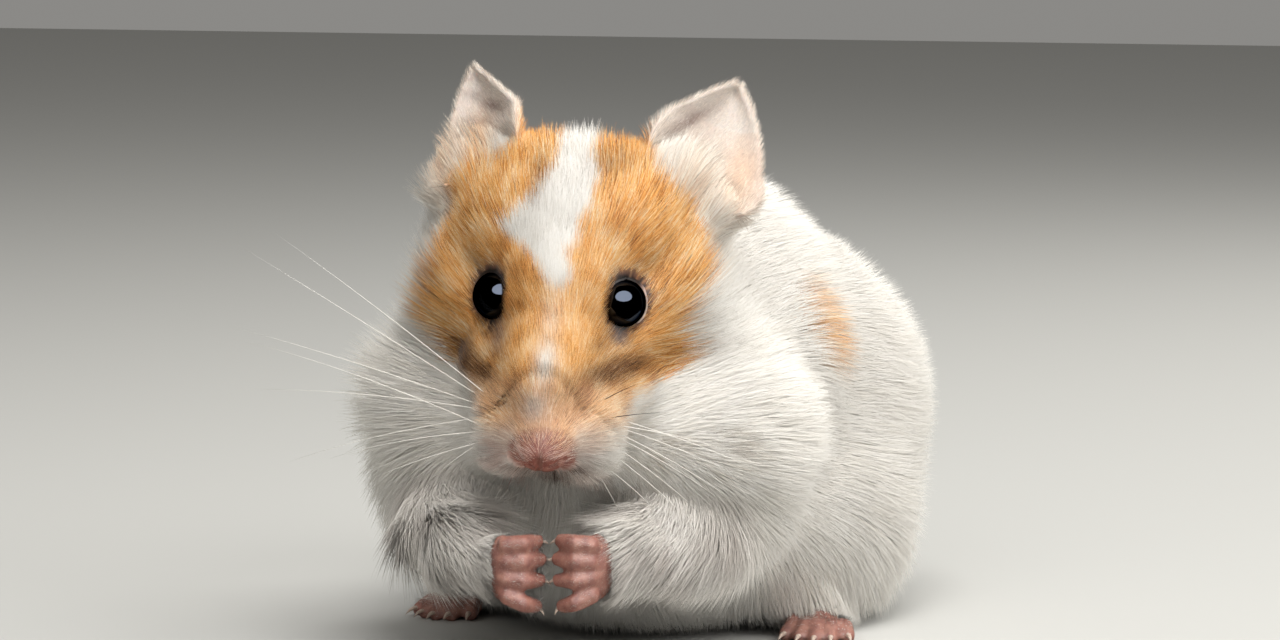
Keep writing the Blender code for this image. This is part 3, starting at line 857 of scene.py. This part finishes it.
# A pale band along the lower outer lid is a painted highlight, the glint of its wet edge; it is full on the left eye
# and a quarter as strong on the right.
lid_glint = np.isin(step // LID_STEPS % len(LID_RINGS), (2, 3)) * ease((turn - 140) / 25) * ease((318 - turn) / 20)
lid_glint = (lid_glint * np.where(step < len(step) / 2, 1, 0.25))[:, None]
bare.append(0.97 - 0.92 * lid_glint[:, 0])
marks.append((0, 1, 0, 0) * (1 - lid_glint) + (0, 0, 0.3, 0.4) * lid_glint)
skin = placed("skin", mesh_from(joined, "skin"))
add_colours(skin.data, "marking", np.concatenate(marks))
add_floats(skin.data, "bare", np.concatenate(bare))
add_floats(skin.data, "marking_dark", np.concatenate(marks)[:, 1])
skin.data.shade_smooth()
skin.data.calc_loop_triangles()
print("skin triangles:", len(skin.data.loop_triangles))

# %% [markdown]
# ## A map of the skin
# A baked colour needs a flat map on which each lock has a place. A coarse copy of the skin is unwrapped by its own
# shape, and every lock then becomes a small patch of that map, where its root stands.

# %% A map of the skin
chart = placed("chart", skin.data.copy())
chart.modifiers.new("coarse", "DECIMATE").ratio = 0.08
chart_mesh = as_seen(chart)
chart.modifiers.clear()
chart.data = chart_mesh
bpy.context.view_layer.objects.active = chart
chart.select_set(True)
bpy.ops.object.mode_set(mode="EDIT")
bpy.ops.mesh.select_all(action="SELECT")
bpy.ops.mesh.quads_convert_to_tris()
bpy.ops.uv.smart_project(angle_limit=radians(66), island_margin=0.004)
bpy.ops.object.mode_set(mode="OBJECT")
chart_points = read(chart_mesh.vertices, "co", 3)
chart_faces = np.array([p.vertices[:] for p in chart_mesh.polygons])
chart_map = read(chart_mesh.uv_layers.active.data, "uv", 2).reshape(-1, 3, 2)
chart_tree = BVHTree.FromPolygons(chart_points.tolist(), chart_faces.tolist())
bpy.data.objects.remove(chart)


def place_on_map(points):
    """Where each point of the skin falls on the flat map."""
    hits = [chart_tree.find_nearest(p) for p in points]
    face = np.array([hit[2] for hit in hits])
    place = np.array([hit[0][:] for hit in hits])
    a, b, c = np.moveaxis(chart_points[chart_faces[face]], 1, 0)
    whole = np.cross(b - a, c - a)
    size = np.maximum(np.sum(whole * whole, axis=1), 1e-18)
    share_b = np.sum(np.cross(place - a, c - a) * whole, axis=1) / size
    share_c = np.sum(np.cross(b - a, place - a) * whole, axis=1) / size
    shares = np.clip(np.column_stack([1 - share_b - share_c, share_b, share_c]), 0, 1)
    return np.sum(chart_map[face] * shares[:, :, None], axis=1)


print("map faces:", len(chart_faces))

# %% [markdown]
# ## One lock, many times
# A lock is a slim three-sided cone. A short one is a single cone of four faces; a long one is cut once across, so
# that it can bend. It is made once with bmesh, and then copied by arrays: each copy has its own root, way, length,
# lift and curl. Neighbouring tips are drawn a little together, as clean fur does, which gives the coat its soft
# clumps, and no lock goes below the floor.

# %% One lock
def lock_pattern(sides, rings):
    """The height and turn of each point of one cone, and its faces as triangles."""
    bm = bmesh.new()
    bmesh.ops.create_cone(bm, cap_ends=True, segments=sides, radius1=1, radius2=0, depth=1)
    bmesh.ops.translate(bm, verts=bm.verts, vec=(0, 0, 0.5))
    for cut in range(1, rings):
        cut_away(bm, (0, 0, cut / rings), (0, 0, 1))
    bmesh.ops.remove_doubles(bm, verts=bm.verts, dist=1e-5)
    bmesh.ops.triangulate(bm, faces=bm.faces)
    bmesh.ops.recalc_face_normals(bm, faces=bm.faces)
    bm.verts.index_update()
    height = np.array([v.co.z for v in bm.verts])
    turn = np.array([atan2(v.co.y, v.co.x) for v in bm.verts])
    faces = np.array([[v.index for v in f.verts] for f in bm.faces])
    bm.free()
    return height, turn, faces


SHORT_LOCK, LONG_LOCK = lock_pattern(3, 1), lock_pattern(3, 2)
print("faces of a short and a long lock:", len(SHORT_LOCK[2]), len(LONG_LOCK[2]))

# %% Sowing roots
def sow(coat):
    """Random roots on one hide, as thick on the ground as the coat is dense, with what grows at each."""
    mesh = coat.hide.mesh
    mesh.calc_loop_triangles()
    corners = read(mesh.loop_triangles, "vertices", 3, np.int32)
    a, b, c = np.moveaxis(coat.hide.points[corners], 1, 0)
    area = lengths(np.cross(b - a, c - a)) / 2 / MM**2
    wanted = area * coat.fields[corners, 3].mean(axis=1)
    count = int(wanted.sum())
    pick = np.searchsorted(np.cumsum(wanted), (np.arange(count) + rng.random(count)) * wanted.sum() / count)
    pick = corners[np.minimum(pick, len(corners) - 1)]
    shares = rng.random((count, 2))
    shares[shares.sum(axis=1) > 1] = 1 - shares[shares.sum(axis=1) > 1]
    shares = np.column_stack([1 - shares.sum(axis=1), shares])
    grown = (coat.hide.points, coat.normals, coat.way, coat.fields)
    return np.column_stack([np.einsum("ij,ijk->ik", shares, values[pick]) for values in grown])


beds = [sow(coat) for coat in coats]
roots = np.concatenate(beds)
print("locks:", len(roots))

# %% Combing
LEADER_EVERY = 9
ROOT_SINK = 0.25
STRAY = 0.12  # how far a lock turns from the lie of the coat, in radians
CURL = 0.13  # how far its middle bows up, as a share of its length
ABOVE_FLOOR = (0.12, 0.12, 0.06)  # root, middle and tip


def comb(roots):
    """The root, middle, tip, side, normal and width of each lock, after its own disorder and its clump's pull."""
    root, normal, way = roots[:, :3], roots[:, 3:6], roots[:, 6:9]
    length, width, lift, _, _, clump = roots[:, 9:].T
    count = len(roots)
    normal = normal / lengths(normal)[:, None]
    way = onto_skin(way, normal)
    side = np.cross(normal, way)
    yaw = ripple(root / MM, 9) * 0.13 + ripple(root / MM + 50, 2.6) * 0.06 + rng.normal(0, STRAY, count)
    way = way * np.cos(yaw)[:, None] + side * np.sin(yaw)[:, None]
    side = np.cross(normal, way)
    length = length * np.clip(rng.normal(1, 0.18, count), 0.5, 1.25) * MM
    rise = np.radians(lift * np.clip(rng.normal(1, 0.16, count), 0.4, 1.25) * (1 + 0.12 * ripple(root / MM + 9, 6)))
    tip = root + (way * np.cos(rise)[:, None] + normal * np.sin(rise)[:, None]) * length[:, None]
    leaders = np.arange(0, count, LEADER_EVERY)
    tree = tree_of(root[leaders])
    near = leaders[[tree.find(p)[1] for p in root]]
    lead = root[near] + (tip[near] - root[near]) * (length / length[near])[:, None]
    tip = tip + (lead - tip) * (clump * rng.uniform(0.4, 1.2, count))[:, None]
    middle = root + (tip - root) * 0.5 + normal * (CURL * length)[:, None]
    middle += side * rng.normal(0, 0.04, count)[:, None] * length[:, None]
    root = root - normal * (ROOT_SINK * MM)
    for part, above in zip((root, middle, tip), ABOVE_FLOOR):
        part[:, 2] = np.maximum(part[:, 2], above * MM)
    return root, middle, tip, side, normal, width * MM * rng.uniform(0.75, 1.25, count)


combed = comb(roots)
lock_marks_and_shade = markings_and_shade(combed[0] * 0.4 + combed[2] * 0.6 + rng.normal(0, 0.35, combed[0].shape) * MM)
lock_marks_and_shade[:, 1] *= rng.uniform(0.6, 1.3, len(roots))
lock_marks_and_shade[:, 2] *= rng.uniform(0.7, 1.3, len(roots))
on_ear = np.concatenate([np.full(len(bed), coat.hide in EARS) for coat, bed in zip(coats, beds)])
lock_marks_and_shade[on_ear, 0] = np.maximum(lock_marks_and_shade[on_ear, 0], 0.18)
lock_marks_and_shade[on_ear, 3] = 0.07
lock_marks_and_shade = np.clip(lock_marks_and_shade, 0, 1)
chance = np.clip(rng.random(len(roots)) + 0.12 * ripple(combed[0] / MM + 77, 1.6), 0, 1)
_, y, z = to_head(combed[0]).T
is_white = (lock_marks_and_shade[:, 0] < 0.1) & ((y > -8) | (z < -17))
chance[is_white] = 0.3 + 0.7 * chance[is_white]
print("mean length in mm:", round(float(lengths(combed[2] - combed[0]).mean() / MM), 2))

# %% [markdown]
# ## Coat pieces
# All the locks in one mesh would be too heavy for other tools, so they are dealt out to several pieces, each a region
# of the body and each under two hundred thousand triangles. Every point carries the marking of its lock, how far
# along the lock it is, and one random number for the whole lock.

# %% Coat pieces
PATCH = 0.003


def coat_piece(name, hairs, marks, luck, pattern, finish, soft=1.35):
    """One mesh of many locks. The softer it is, the more it is shaded by the skin's own roundness."""
    height, turn, faces = pattern
    root, middle, tip, side, normal, width = hairs
    count, size = len(root), len(height)
    up = height[None, :, None]
    centre = root[:, None] * (1 - up) ** 2 + middle[:, None] * 2 * up * (1 - up) + tip[:, None] * up**2
    half = (width / 2)[:, None] * (1 - height[None, :] ** 1.6)
    round_it = side[:, None] * np.cos(turn)[None, :, None] + normal[:, None] * (0.75 * np.sin(turn))[None, :, None]
    points = (centre + round_it * half[:, :, None]).reshape(-1, 3)
    corners = (faces[None] + (np.arange(count) * size)[:, None, None]).reshape(-1)
    mesh = bpy.data.meshes.new(name)
    mesh.vertices.add(len(points))
    mesh.vertices.foreach_set("co", points.ravel())
    mesh.loops.add(len(corners))
    mesh.loops.foreach_set("vertex_index", corners)
    mesh.polygons.add(len(corners) // 3)
    mesh.polygons.foreach_set("loop_start", np.arange(0, len(corners), 3))
    mesh.update(calc_edges=True)
    mesh.shade_smooth()
    onward = (tip - middle) / lengths(tip - middle)[:, None]
    facing = (0.5 - 0.5 * up**4) * round_it + soft * normal[:, None] + 0.3 * up**4 * onward[:, None]
    facing = (facing / lengths(facing)[:, :, None]).reshape(-1, 3)
    mesh.normals_split_custom_set_from_vertices(facing.tolist())
    add_colours(mesh, "marking", np.repeat(marks, size, axis=0))
    add_floats(mesh, "along", np.tile(height, count))
    add_floats(mesh, "chance", np.repeat(luck, size))
    patch_way = np.column_stack([np.cos(turn) * 0.5, height - 0.5]) * PATCH
    flat = (place_on_map(root)[:, None] + patch_way[None]).reshape(-1, 2)[corners]
    mesh.uv_layers.new(name="OFBake").data.foreach_set("uv", flat.ravel().astype(np.float32))
    mesh.materials.append(finish)
    obj = placed(name, mesh)
    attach(obj, "root")
    print(name, "locks:", count, "triangles:", len(corners) // 3)
    return obj


# %% [markdown]
# ## Colours of hair
# One hair is never one colour: its root is duller and its tip is paler, and the duller root also stands for painted
# shade deep in the coat. And a golden patch is a mix of orange, brown and cream hairs. One shader group turns the
# marking, the place along the lock and its random number into that colour, and both the skin and the coat use it.

# %% A group for hair colours
def mix_colours(tree, factor, first, second, blend="MIX"):
    """A colour mix. Each value is a socket, a number or a colour."""
    node = tree.nodes.new("ShaderNodeMix")
    node.data_type, node.blend_type = "RGBA", blend
    for name, value in (("Factor_Float", factor), ("A_Color", first), ("B_Color", second)):
        target = next(s for s in node.inputs if s.identifier == name)
        if isinstance(value, bpy.types.NodeSocket):
            tree.links.new(value, target)
        else:
            target.default_value = (*value, 1) if isinstance(value, tuple) else value
    return next(s for s in node.outputs if s.identifier == "Result_Color")


def ramp(tree, factor, *stops):
    """A colour ramp from (place, colour) stops."""
    node = tree.nodes.new("ShaderNodeValToRGB")
    while len(node.color_ramp.elements) < len(stops):
        node.color_ramp.elements.new(0.5)
    for element, (place, colour) in zip(node.color_ramp.elements, stops):
        element.position = place
        element.color = (*colour, 1)
    tree.links.new(factor, node.inputs["Fac"])
    return node.outputs["Color"]


def new_group(name, output, **inputs):
    """An empty shader group with its sockets, and its two ends. An input with no value is a colour or a place."""
    group = bpy.data.node_groups.new(name, "ShaderNodeTree")
    for key, value in inputs.items():
        kind = "Float" if isinstance(value, float) else value
        made = group.interface.new_socket(key, in_out="INPUT", socket_type=f"NodeSocket{kind}")
        if kind == "Float":
            made.default_value = value
    group.interface.new_socket(output[0], in_out="OUTPUT", socket_type=f"NodeSocket{output[1]}")
    return group, group.nodes.new("NodeGroupInput").outputs, group.nodes.new("NodeGroupOutput").inputs


def add_group(tree, group):
    node = tree.nodes.new("ShaderNodeGroup")
    node.node_tree = group
    return node


def attribute(tree, name):
    node = tree.nodes.new("ShaderNodeAttribute")
    node.attribute_name = name
    return node.outputs


hair_colour, into, out_of = new_group(
    "hair_colour", ("Colour", "Color"), Marking="Color", Pink=0.0, Along=0.0, Chance=0.5
)
split = hair_colour.nodes.new("ShaderNodeSeparateColor")
hair_colour.links.new(into["Marking"], split.inputs["Color"])
HAIRS = {
    "white": ((0, (0.52, 0.47, 0.41)), (0.14, (0.76, 0.72, 0.65)), (0.45, (0.87, 0.84, 0.78)), (1, (0.94, 0.92, 0.88))),
    "golden": ((0, (0.30, 0.10, 0.03)), (0.12, (0.66, 0.25, 0.055)), (0.45, (0.88, 0.42, 0.115)),
               (0.75, (0.94, 0.57, 0.22)), (1, (0.97, 0.80, 0.54))),
    "dark": ((0, (0.02, 0.01, 0.006)), (0.6, (0.08, 0.032, 0.015)), (1, (0.26, 0.12, 0.05))),
    "grey": ((0, (0.15, 0.125, 0.115)), (0.5, (0.28, 0.235, 0.215)), (1, (0.5, 0.42, 0.37))),
    "pink": ((0, (0.4, 0.15, 0.12)), (0.5, (0.7, 0.4, 0.33)), (1, (0.92, 0.74, 0.67))),
}
hair = {name: ramp(hair_colour, into["Chance"], *stops) for name, stops in HAIRS.items()}
shade = hair["white"]
for name, share in (("golden", split.outputs["Red"]), ("dark", split.outputs["Green"]),
                    ("grey", split.outputs["Blue"]), ("pink", into["Pink"])):
    shade = mix_colours(hair_colour, share, shade, hair[name])
# Darker towards the root: partly the hair's own duller root, partly painted shade deep in the coat.
root_shade = ramp(hair_colour, into["Along"], (0, (0.86, 0.84, 0.82)), (0.5, (0.98, 0.97, 0.96)), (1, (1.0, 1.0, 1.0)))
shade = mix_colours(hair_colour, 1.0, shade, root_shade, "MULTIPLY")
hair_colour.links.new(shade, out_of["Colour"])


def coloured_hair(tree):
    """The group placed in a material, with the marking linked to it."""
    node, mark = add_group(tree, hair_colour), attribute(tree, "marking")
    tree.links.new(mark["Color"], node.inputs["Marking"])
    tree.links.new(mark["Alpha"], node.inputs["Pink"])
    return node


print("hair colour nodes:", len(hair_colour.nodes))

# %% [markdown]
# ## The coat's material
# Hair is a clear horn with colour inside, so it has a soft gloss along it and a faint bright edge. A Principled
# shader with a middling roughness and a little sheen gives both without the cost of a hair shader.

# %% The coat's material
fur, tree, shader = new_material(
    "fur", {"Roughness": 0.5, "Specular IOR Level": 0.14, "Sheen Weight": 0.08, "Sheen Roughness": 0.4}
)
coloured = coloured_hair(tree)
tree.links.new(attribute(tree, "along")["Fac"], coloured.inputs["Along"])
tree.links.new(attribute(tree, "chance")["Fac"], coloured.inputs["Chance"])
tree.links.new(coloured.outputs["Colour"], shader.inputs["Base Color"])
print("fur ready")

# %% [markdown]
# ## Mottling
# Skin, horn and the eye are all a little uneven, each at its own scale. A Noise texture on the piece's own place gives
# that, and as three materials need it, it is a group too, with the size of its features as one of its inputs.

# %% A group for mottling
mottle, into, out_of = new_group("mottle", ("Value", "Float"), Place="Vector", Scale=1.0, Detail=4.0, Roughness=0.55)
noise = mottle.nodes.new("ShaderNodeTexNoise")
for name in ("Scale", "Detail", "Roughness"):
    mottle.links.new(into[name], noise.inputs[name])
mottle.links.new(into["Place"], noise.inputs["Vector"])
mottle.links.new(noise.outputs["Fac"], out_of["Value"])


def mottled(tree, size, detail=4.0, roughness=0.55):
    """The mottle group placed in a material, with features of a size in millimetres."""
    node = add_group(tree, mottle)
    tree.links.new(tree.nodes.new("ShaderNodeTexCoord").outputs["Object"], node.inputs["Place"])
    settle(node, {"Scale": 1 / (size * MM), "Detail": detail, "Roughness": roughness})
    return node.outputs["Value"]


def roughen(tree, shader, height, strength, distance):
    """Fine relief in the shader's normal, no deeper than a distance in metres."""
    bump = settle(tree.nodes.new("ShaderNodeBump"), {"Strength": strength, "Distance": distance})
    tree.links.new(height, bump.inputs["Height"])
    tree.links.new(bump.outputs["Normal"], shader.inputs["Normal"])


print("mottle nodes:", len(mottle.nodes))

# %% [markdown]
# ## The skin's material
# Under the coat the skin takes the coat's own colour at the hair's root, darkened there as painted shade, so no gap
# between locks flashes. Where it is bare it is pink, mottled, finely creased and a little damp, and light sinks a
# fraction of a millimetre into it; that pink is also darkened, as painted shade on the paws and the nose.

# %% The skin's material
hide_paint, tree, shader = new_material("hide", {
    "Roughness": 0.48, "Subsurface Weight": 0.15, "Subsurface Radius": (1.0, 0.35, 0.2), "Subsurface Scale": 0.0008,
})
coloured = settle(coloured_hair(tree), {"Along": 0.05})
tree.links.new(mottled(tree, 0.5), coloured.inputs["Chance"])
# The bare pink is darker than the skin's own colour: painted shade, for the paws and the nose lie in shade.
shaded_flesh = ramp(tree, mottled(tree, 1.3), (0.3, (0.2, 0.05, 0.035)), (0.5, (0.3, 0.1, 0.07)), (0.72, (0.42, 0.18, 0.13)))
bare_or_dark = mix_colours(tree, attribute(tree, "marking_dark")["Fac"], shaded_flesh, (0.012, 0.008, 0.006))
painted = mix_colours(tree, attribute(tree, "bare")["Fac"], coloured.outputs["Colour"], bare_or_dark)
tree.links.new(painted, shader.inputs["Base Color"])
roughen(tree, shader, mottled(tree, 0.35, 5.0, 0.65), 0.5, 0.0002)
skin.data.materials.append(hide_paint)
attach(skin, "root")
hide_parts(*[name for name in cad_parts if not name.startswith("eye_")])
print("skin painted")

# %% [markdown]
# ## Dealing out the coat
# Short locks and long ones are dealt out apart, since they have different patterns, and each deal is cut into equal
# shares from the animal's right to its left.

# %% Dealing out the coat
MOST_TRIANGLES = 196000


def deal(name, chosen, pattern):
    chosen = chosen[np.argsort(combed[0][chosen, 0])]
    shares = np.array_split(chosen, ceil(len(chosen) * len(pattern[2]) / MOST_TRIANGLES))
    return [
        coat_piece(f"{name}_{i}", [values[share] for values in combed], lock_marks_and_shade[share], chance[share], pattern, fur)
        for i, share in enumerate(shares, 1)
    ]


is_bent = roots[:, 13] > 0.5
coat = deal("short_coat", np.flatnonzero(~is_bent), SHORT_LOCK) + deal("long_coat", np.flatnonzero(is_bent), LONG_LOCK)
print("coat triangles:", sum(len(piece.data.polygons) for piece in coat))

# %% [markdown]
# ## Whiskers
# The whiskers are the stiffest hairs of all: long, pale, tapering tubes that stand in rows on the muzzle and sweep out
# and back. Each is one cone again, cut into many rings so that it can bow, from its root on the muzzle to its tip. Two
# short dark ones stand over the left of the muzzle. Each row of numbers is a root and a tip.

# %% Whiskers
RIGHT_WHISKERS = (
    (-7.7, -12.9, -5.5, -38, 1.9, 8.1), (-8.8, -12.4, -6.4, -42.6, 1, 6.2), (-9, -12.7, -7.4, -43.4, -5.7, -2.2),
    (-9, -13.2, -7.6, -38.9, -10.7, -8.7), (-9.3, -13.5, -8.9, -34.6, -16, -16.6),
    (-8.5, -16.4, -8.5, -28.8, -16.9, -14.7), (-7.2, -18.3, -8.4, -24.1, -19.6, -16.2),
    (-8.3, -15.9, -7.8, -40.8, -8.3, -2.4), (-6.8, -18.1, -7.8, -16.2, -19.2, -16.8),
)
LEFT_WHISKERS = (
    (9.2, -13.4, -8.8, 23.6, -7.5, -17.5), (9.6, -12.6, -10, 26, -9.6, -20.7), (9, -13.2, -11, 22.2, -11.4, -22.6),
    (8.2, -13.8, -11.8, 19.4, -12.5, -23.9), (7.4, -14, -12.6, 18.1, -12.9, -25.1),
    (6.6, -14.2, -13, 15.2, -13.1, -25.6), (9.8, -11.8, -9.4, 29.3, -8.8, -20.5),
    (5.8, -14.6, -13.4, 10, -13.9, -26.3), (8.8, -13.6, -9.8, 24.6, -11.4, -23.3),
)
DARK_WHISKERS = (
    (7.2, -13, -5.2, 12.1, -12, -2.6), (7.7, -14.7, -6.7, 15.5, -14.3, -5.4),
)
WHISKER_WIDTH = 0.12
lines = np.array(RIGHT_WHISKERS + LEFT_WHISKERS + DARK_WHISKERS).reshape(-1, 2, 3)
root, tip = from_head(lines[:, 0]), from_head(lines[:, 1])
tip[len(RIGHT_WHISKERS):-2] -= np.array(ahead) * 4 * MM
nearest = [min((tree.find_nearest(Vector(p)) for tree in skin_trees), key=lambda hit: hit[3]) for p in root]
root, outward = (np.array([hit[i][:] for hit in nearest]) for i in (0, 1))
run = tip - root
long = lengths(run)[:, None]
middle = root + run * 0.5 + (head_way(0, -0.3, 1) * 0.07 + outward * 0.05) * long
side = np.cross(HEAD_TURN @ Vector((0, -0.5, 1)), run)
side /= lengths(side)[:, None]
hairs = (root - outward * 0.4 * MM, middle, tip, side, np.cross(run / long, side),
         np.full(len(lines), WHISKER_WIDTH) * MM)
marks, luck = np.zeros((len(lines), 4)), np.full(len(lines), 0.9)
marks[-2:, 1], luck[-2:] = 1, 0.1
coat_piece("whiskers", hairs, marks, luck, lock_pattern(4, 9), fur, soft=0)

# %% [markdown]
# ## Claws
# Four fingers and five toes on each side end in a tiny hooked claw of pale horn. Each is a cone cut into rings and
# bowed like a whisker, only short and stout, so the same builder makes it. It starts inside the toe's tip.

# %% Claws
horn, tree, shader = new_material("horn", {"Roughness": 0.3})
horn_colour = ramp(tree, mottled(tree, 0.4), (0.3, (0.5, 0.36, 0.3)), (0.7, (0.72, 0.6, 0.5)))
tree.links.new(horn_colour, shader.inputs["Base Color"])
FEET = {"left": (25.5, -1, 10), "right": (-25.5, -1, -10)}
HANDS = {"left": (9, -55.4, 15.7), "right": (2, -58.2, 15.7)}
HANDS_TURN = 20
FINGER_REACH = (2.2, 2.6, 2.5, 2.0)
CLAW_WIDTH, CLAW_HOOK, TOE_CLAW, FINGER_CLAW = 0.85, 0.35, 2.3, 1.9
starts, ways = [], []
for x, y, turn_out in FEET.values():
    turned = Matrix.Translation((x, y, 0)) @ Matrix.Rotation(radians(turn_out), 4, "Z")
    for i in range(5):
        spread = (i - 2) / 2
        starts.append(turned @ Vector((spread * 4.3, -14.4 + 2.3 * spread**2, 1.1)))
        ways.append(turned.to_3x3() @ Vector((spread * 0.8, -3 + 0.9 * spread**2, -0.5)))
for side, place_of_hand in HANDS.items():
    out = 1 if side == "left" else -1
    turned = Matrix.Translation(place_of_hand) @ Matrix.Rotation(radians(HANDS_TURN), 4, "Z")
    for i in range(4):
        reach, droop = FINGER_REACH[i], -0.35 * max(0, i - 1) ** 2
        starts.append(turned @ Vector((-out * reach, 0, (1.5 - i) * 2.35 + droop)))
        ways.append(turned.to_3x3() @ Vector((-out * reach, 1.2, droop - 0.4)))
starts, ways = np.array(starts), np.array([way.normalized() for way in ways])
starts = starts * MM + np.array(BODY_START)
side = np.cross((0, 0, 1), ways)
side /= lengths(side)[:, None]
up = np.cross(ways, side)
reach = np.where(np.arange(len(starts)) < 10, TOE_CLAW, FINGER_CLAW)[:, None] * MM
hooked = up * CLAW_HOOK * MM
hairs = (starts, starts + ways * reach * 0.55 + hooked, starts + ways * reach - hooked, side, up,
         np.full(len(starts), CLAW_WIDTH * MM))
marks, luck = np.zeros((len(starts), 4)), np.ones(len(starts))
coat_piece("claws", hairs, marks, luck, lock_pattern(8, 5), horn, soft=0)

# %% [markdown]
# ## Eyes
# The eye is a wet black ball that mirrors the lamps, so it needs to be rounder than its solid's facets. A sphere of
# the same size takes its place, with the least tear film in its bump. It is made a very dark mirror, because a mirror's
# specular tint can keep its edge black, where a plain gloss would show the bright coat round it.

# %% Eyes
wet_eye, tree, shader = new_material("wet_eye", {"Roughness": 0.03, "Metallic": 1.0, "Specular Tint": (0, 0, 0, 1)})
iris = ramp(tree, mottled(tree, 2.5), (0.3, (0.03, 0.035, 0.046)), (0.8, (0.036, 0.042, 0.054)))
tree.links.new(iris, shader.inputs["Base Color"])
roughen(tree, shader, mottled(tree, 1.2), 0.04, 0.0001)
for side, eye in eye_at.items():
    ball = bmesh.new()
    bmesh.ops.create_uvsphere(ball, u_segments=96, v_segments=64, radius=EYE_RADIUS * MM)
    bmesh.ops.translate(ball, verts=ball.verts, vec=eye)
    eyeball = placed(f"eyeball_{side}", mesh_from(ball, f"eyeball_{side}"))
    eyeball.data.shade_smooth()
    eyeball.data.materials.append(wet_eye)
    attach(eyeball, "root")
    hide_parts(f"eye_{side}")
print("eyes wet, faces each:", len(eyeball.data.polygons))
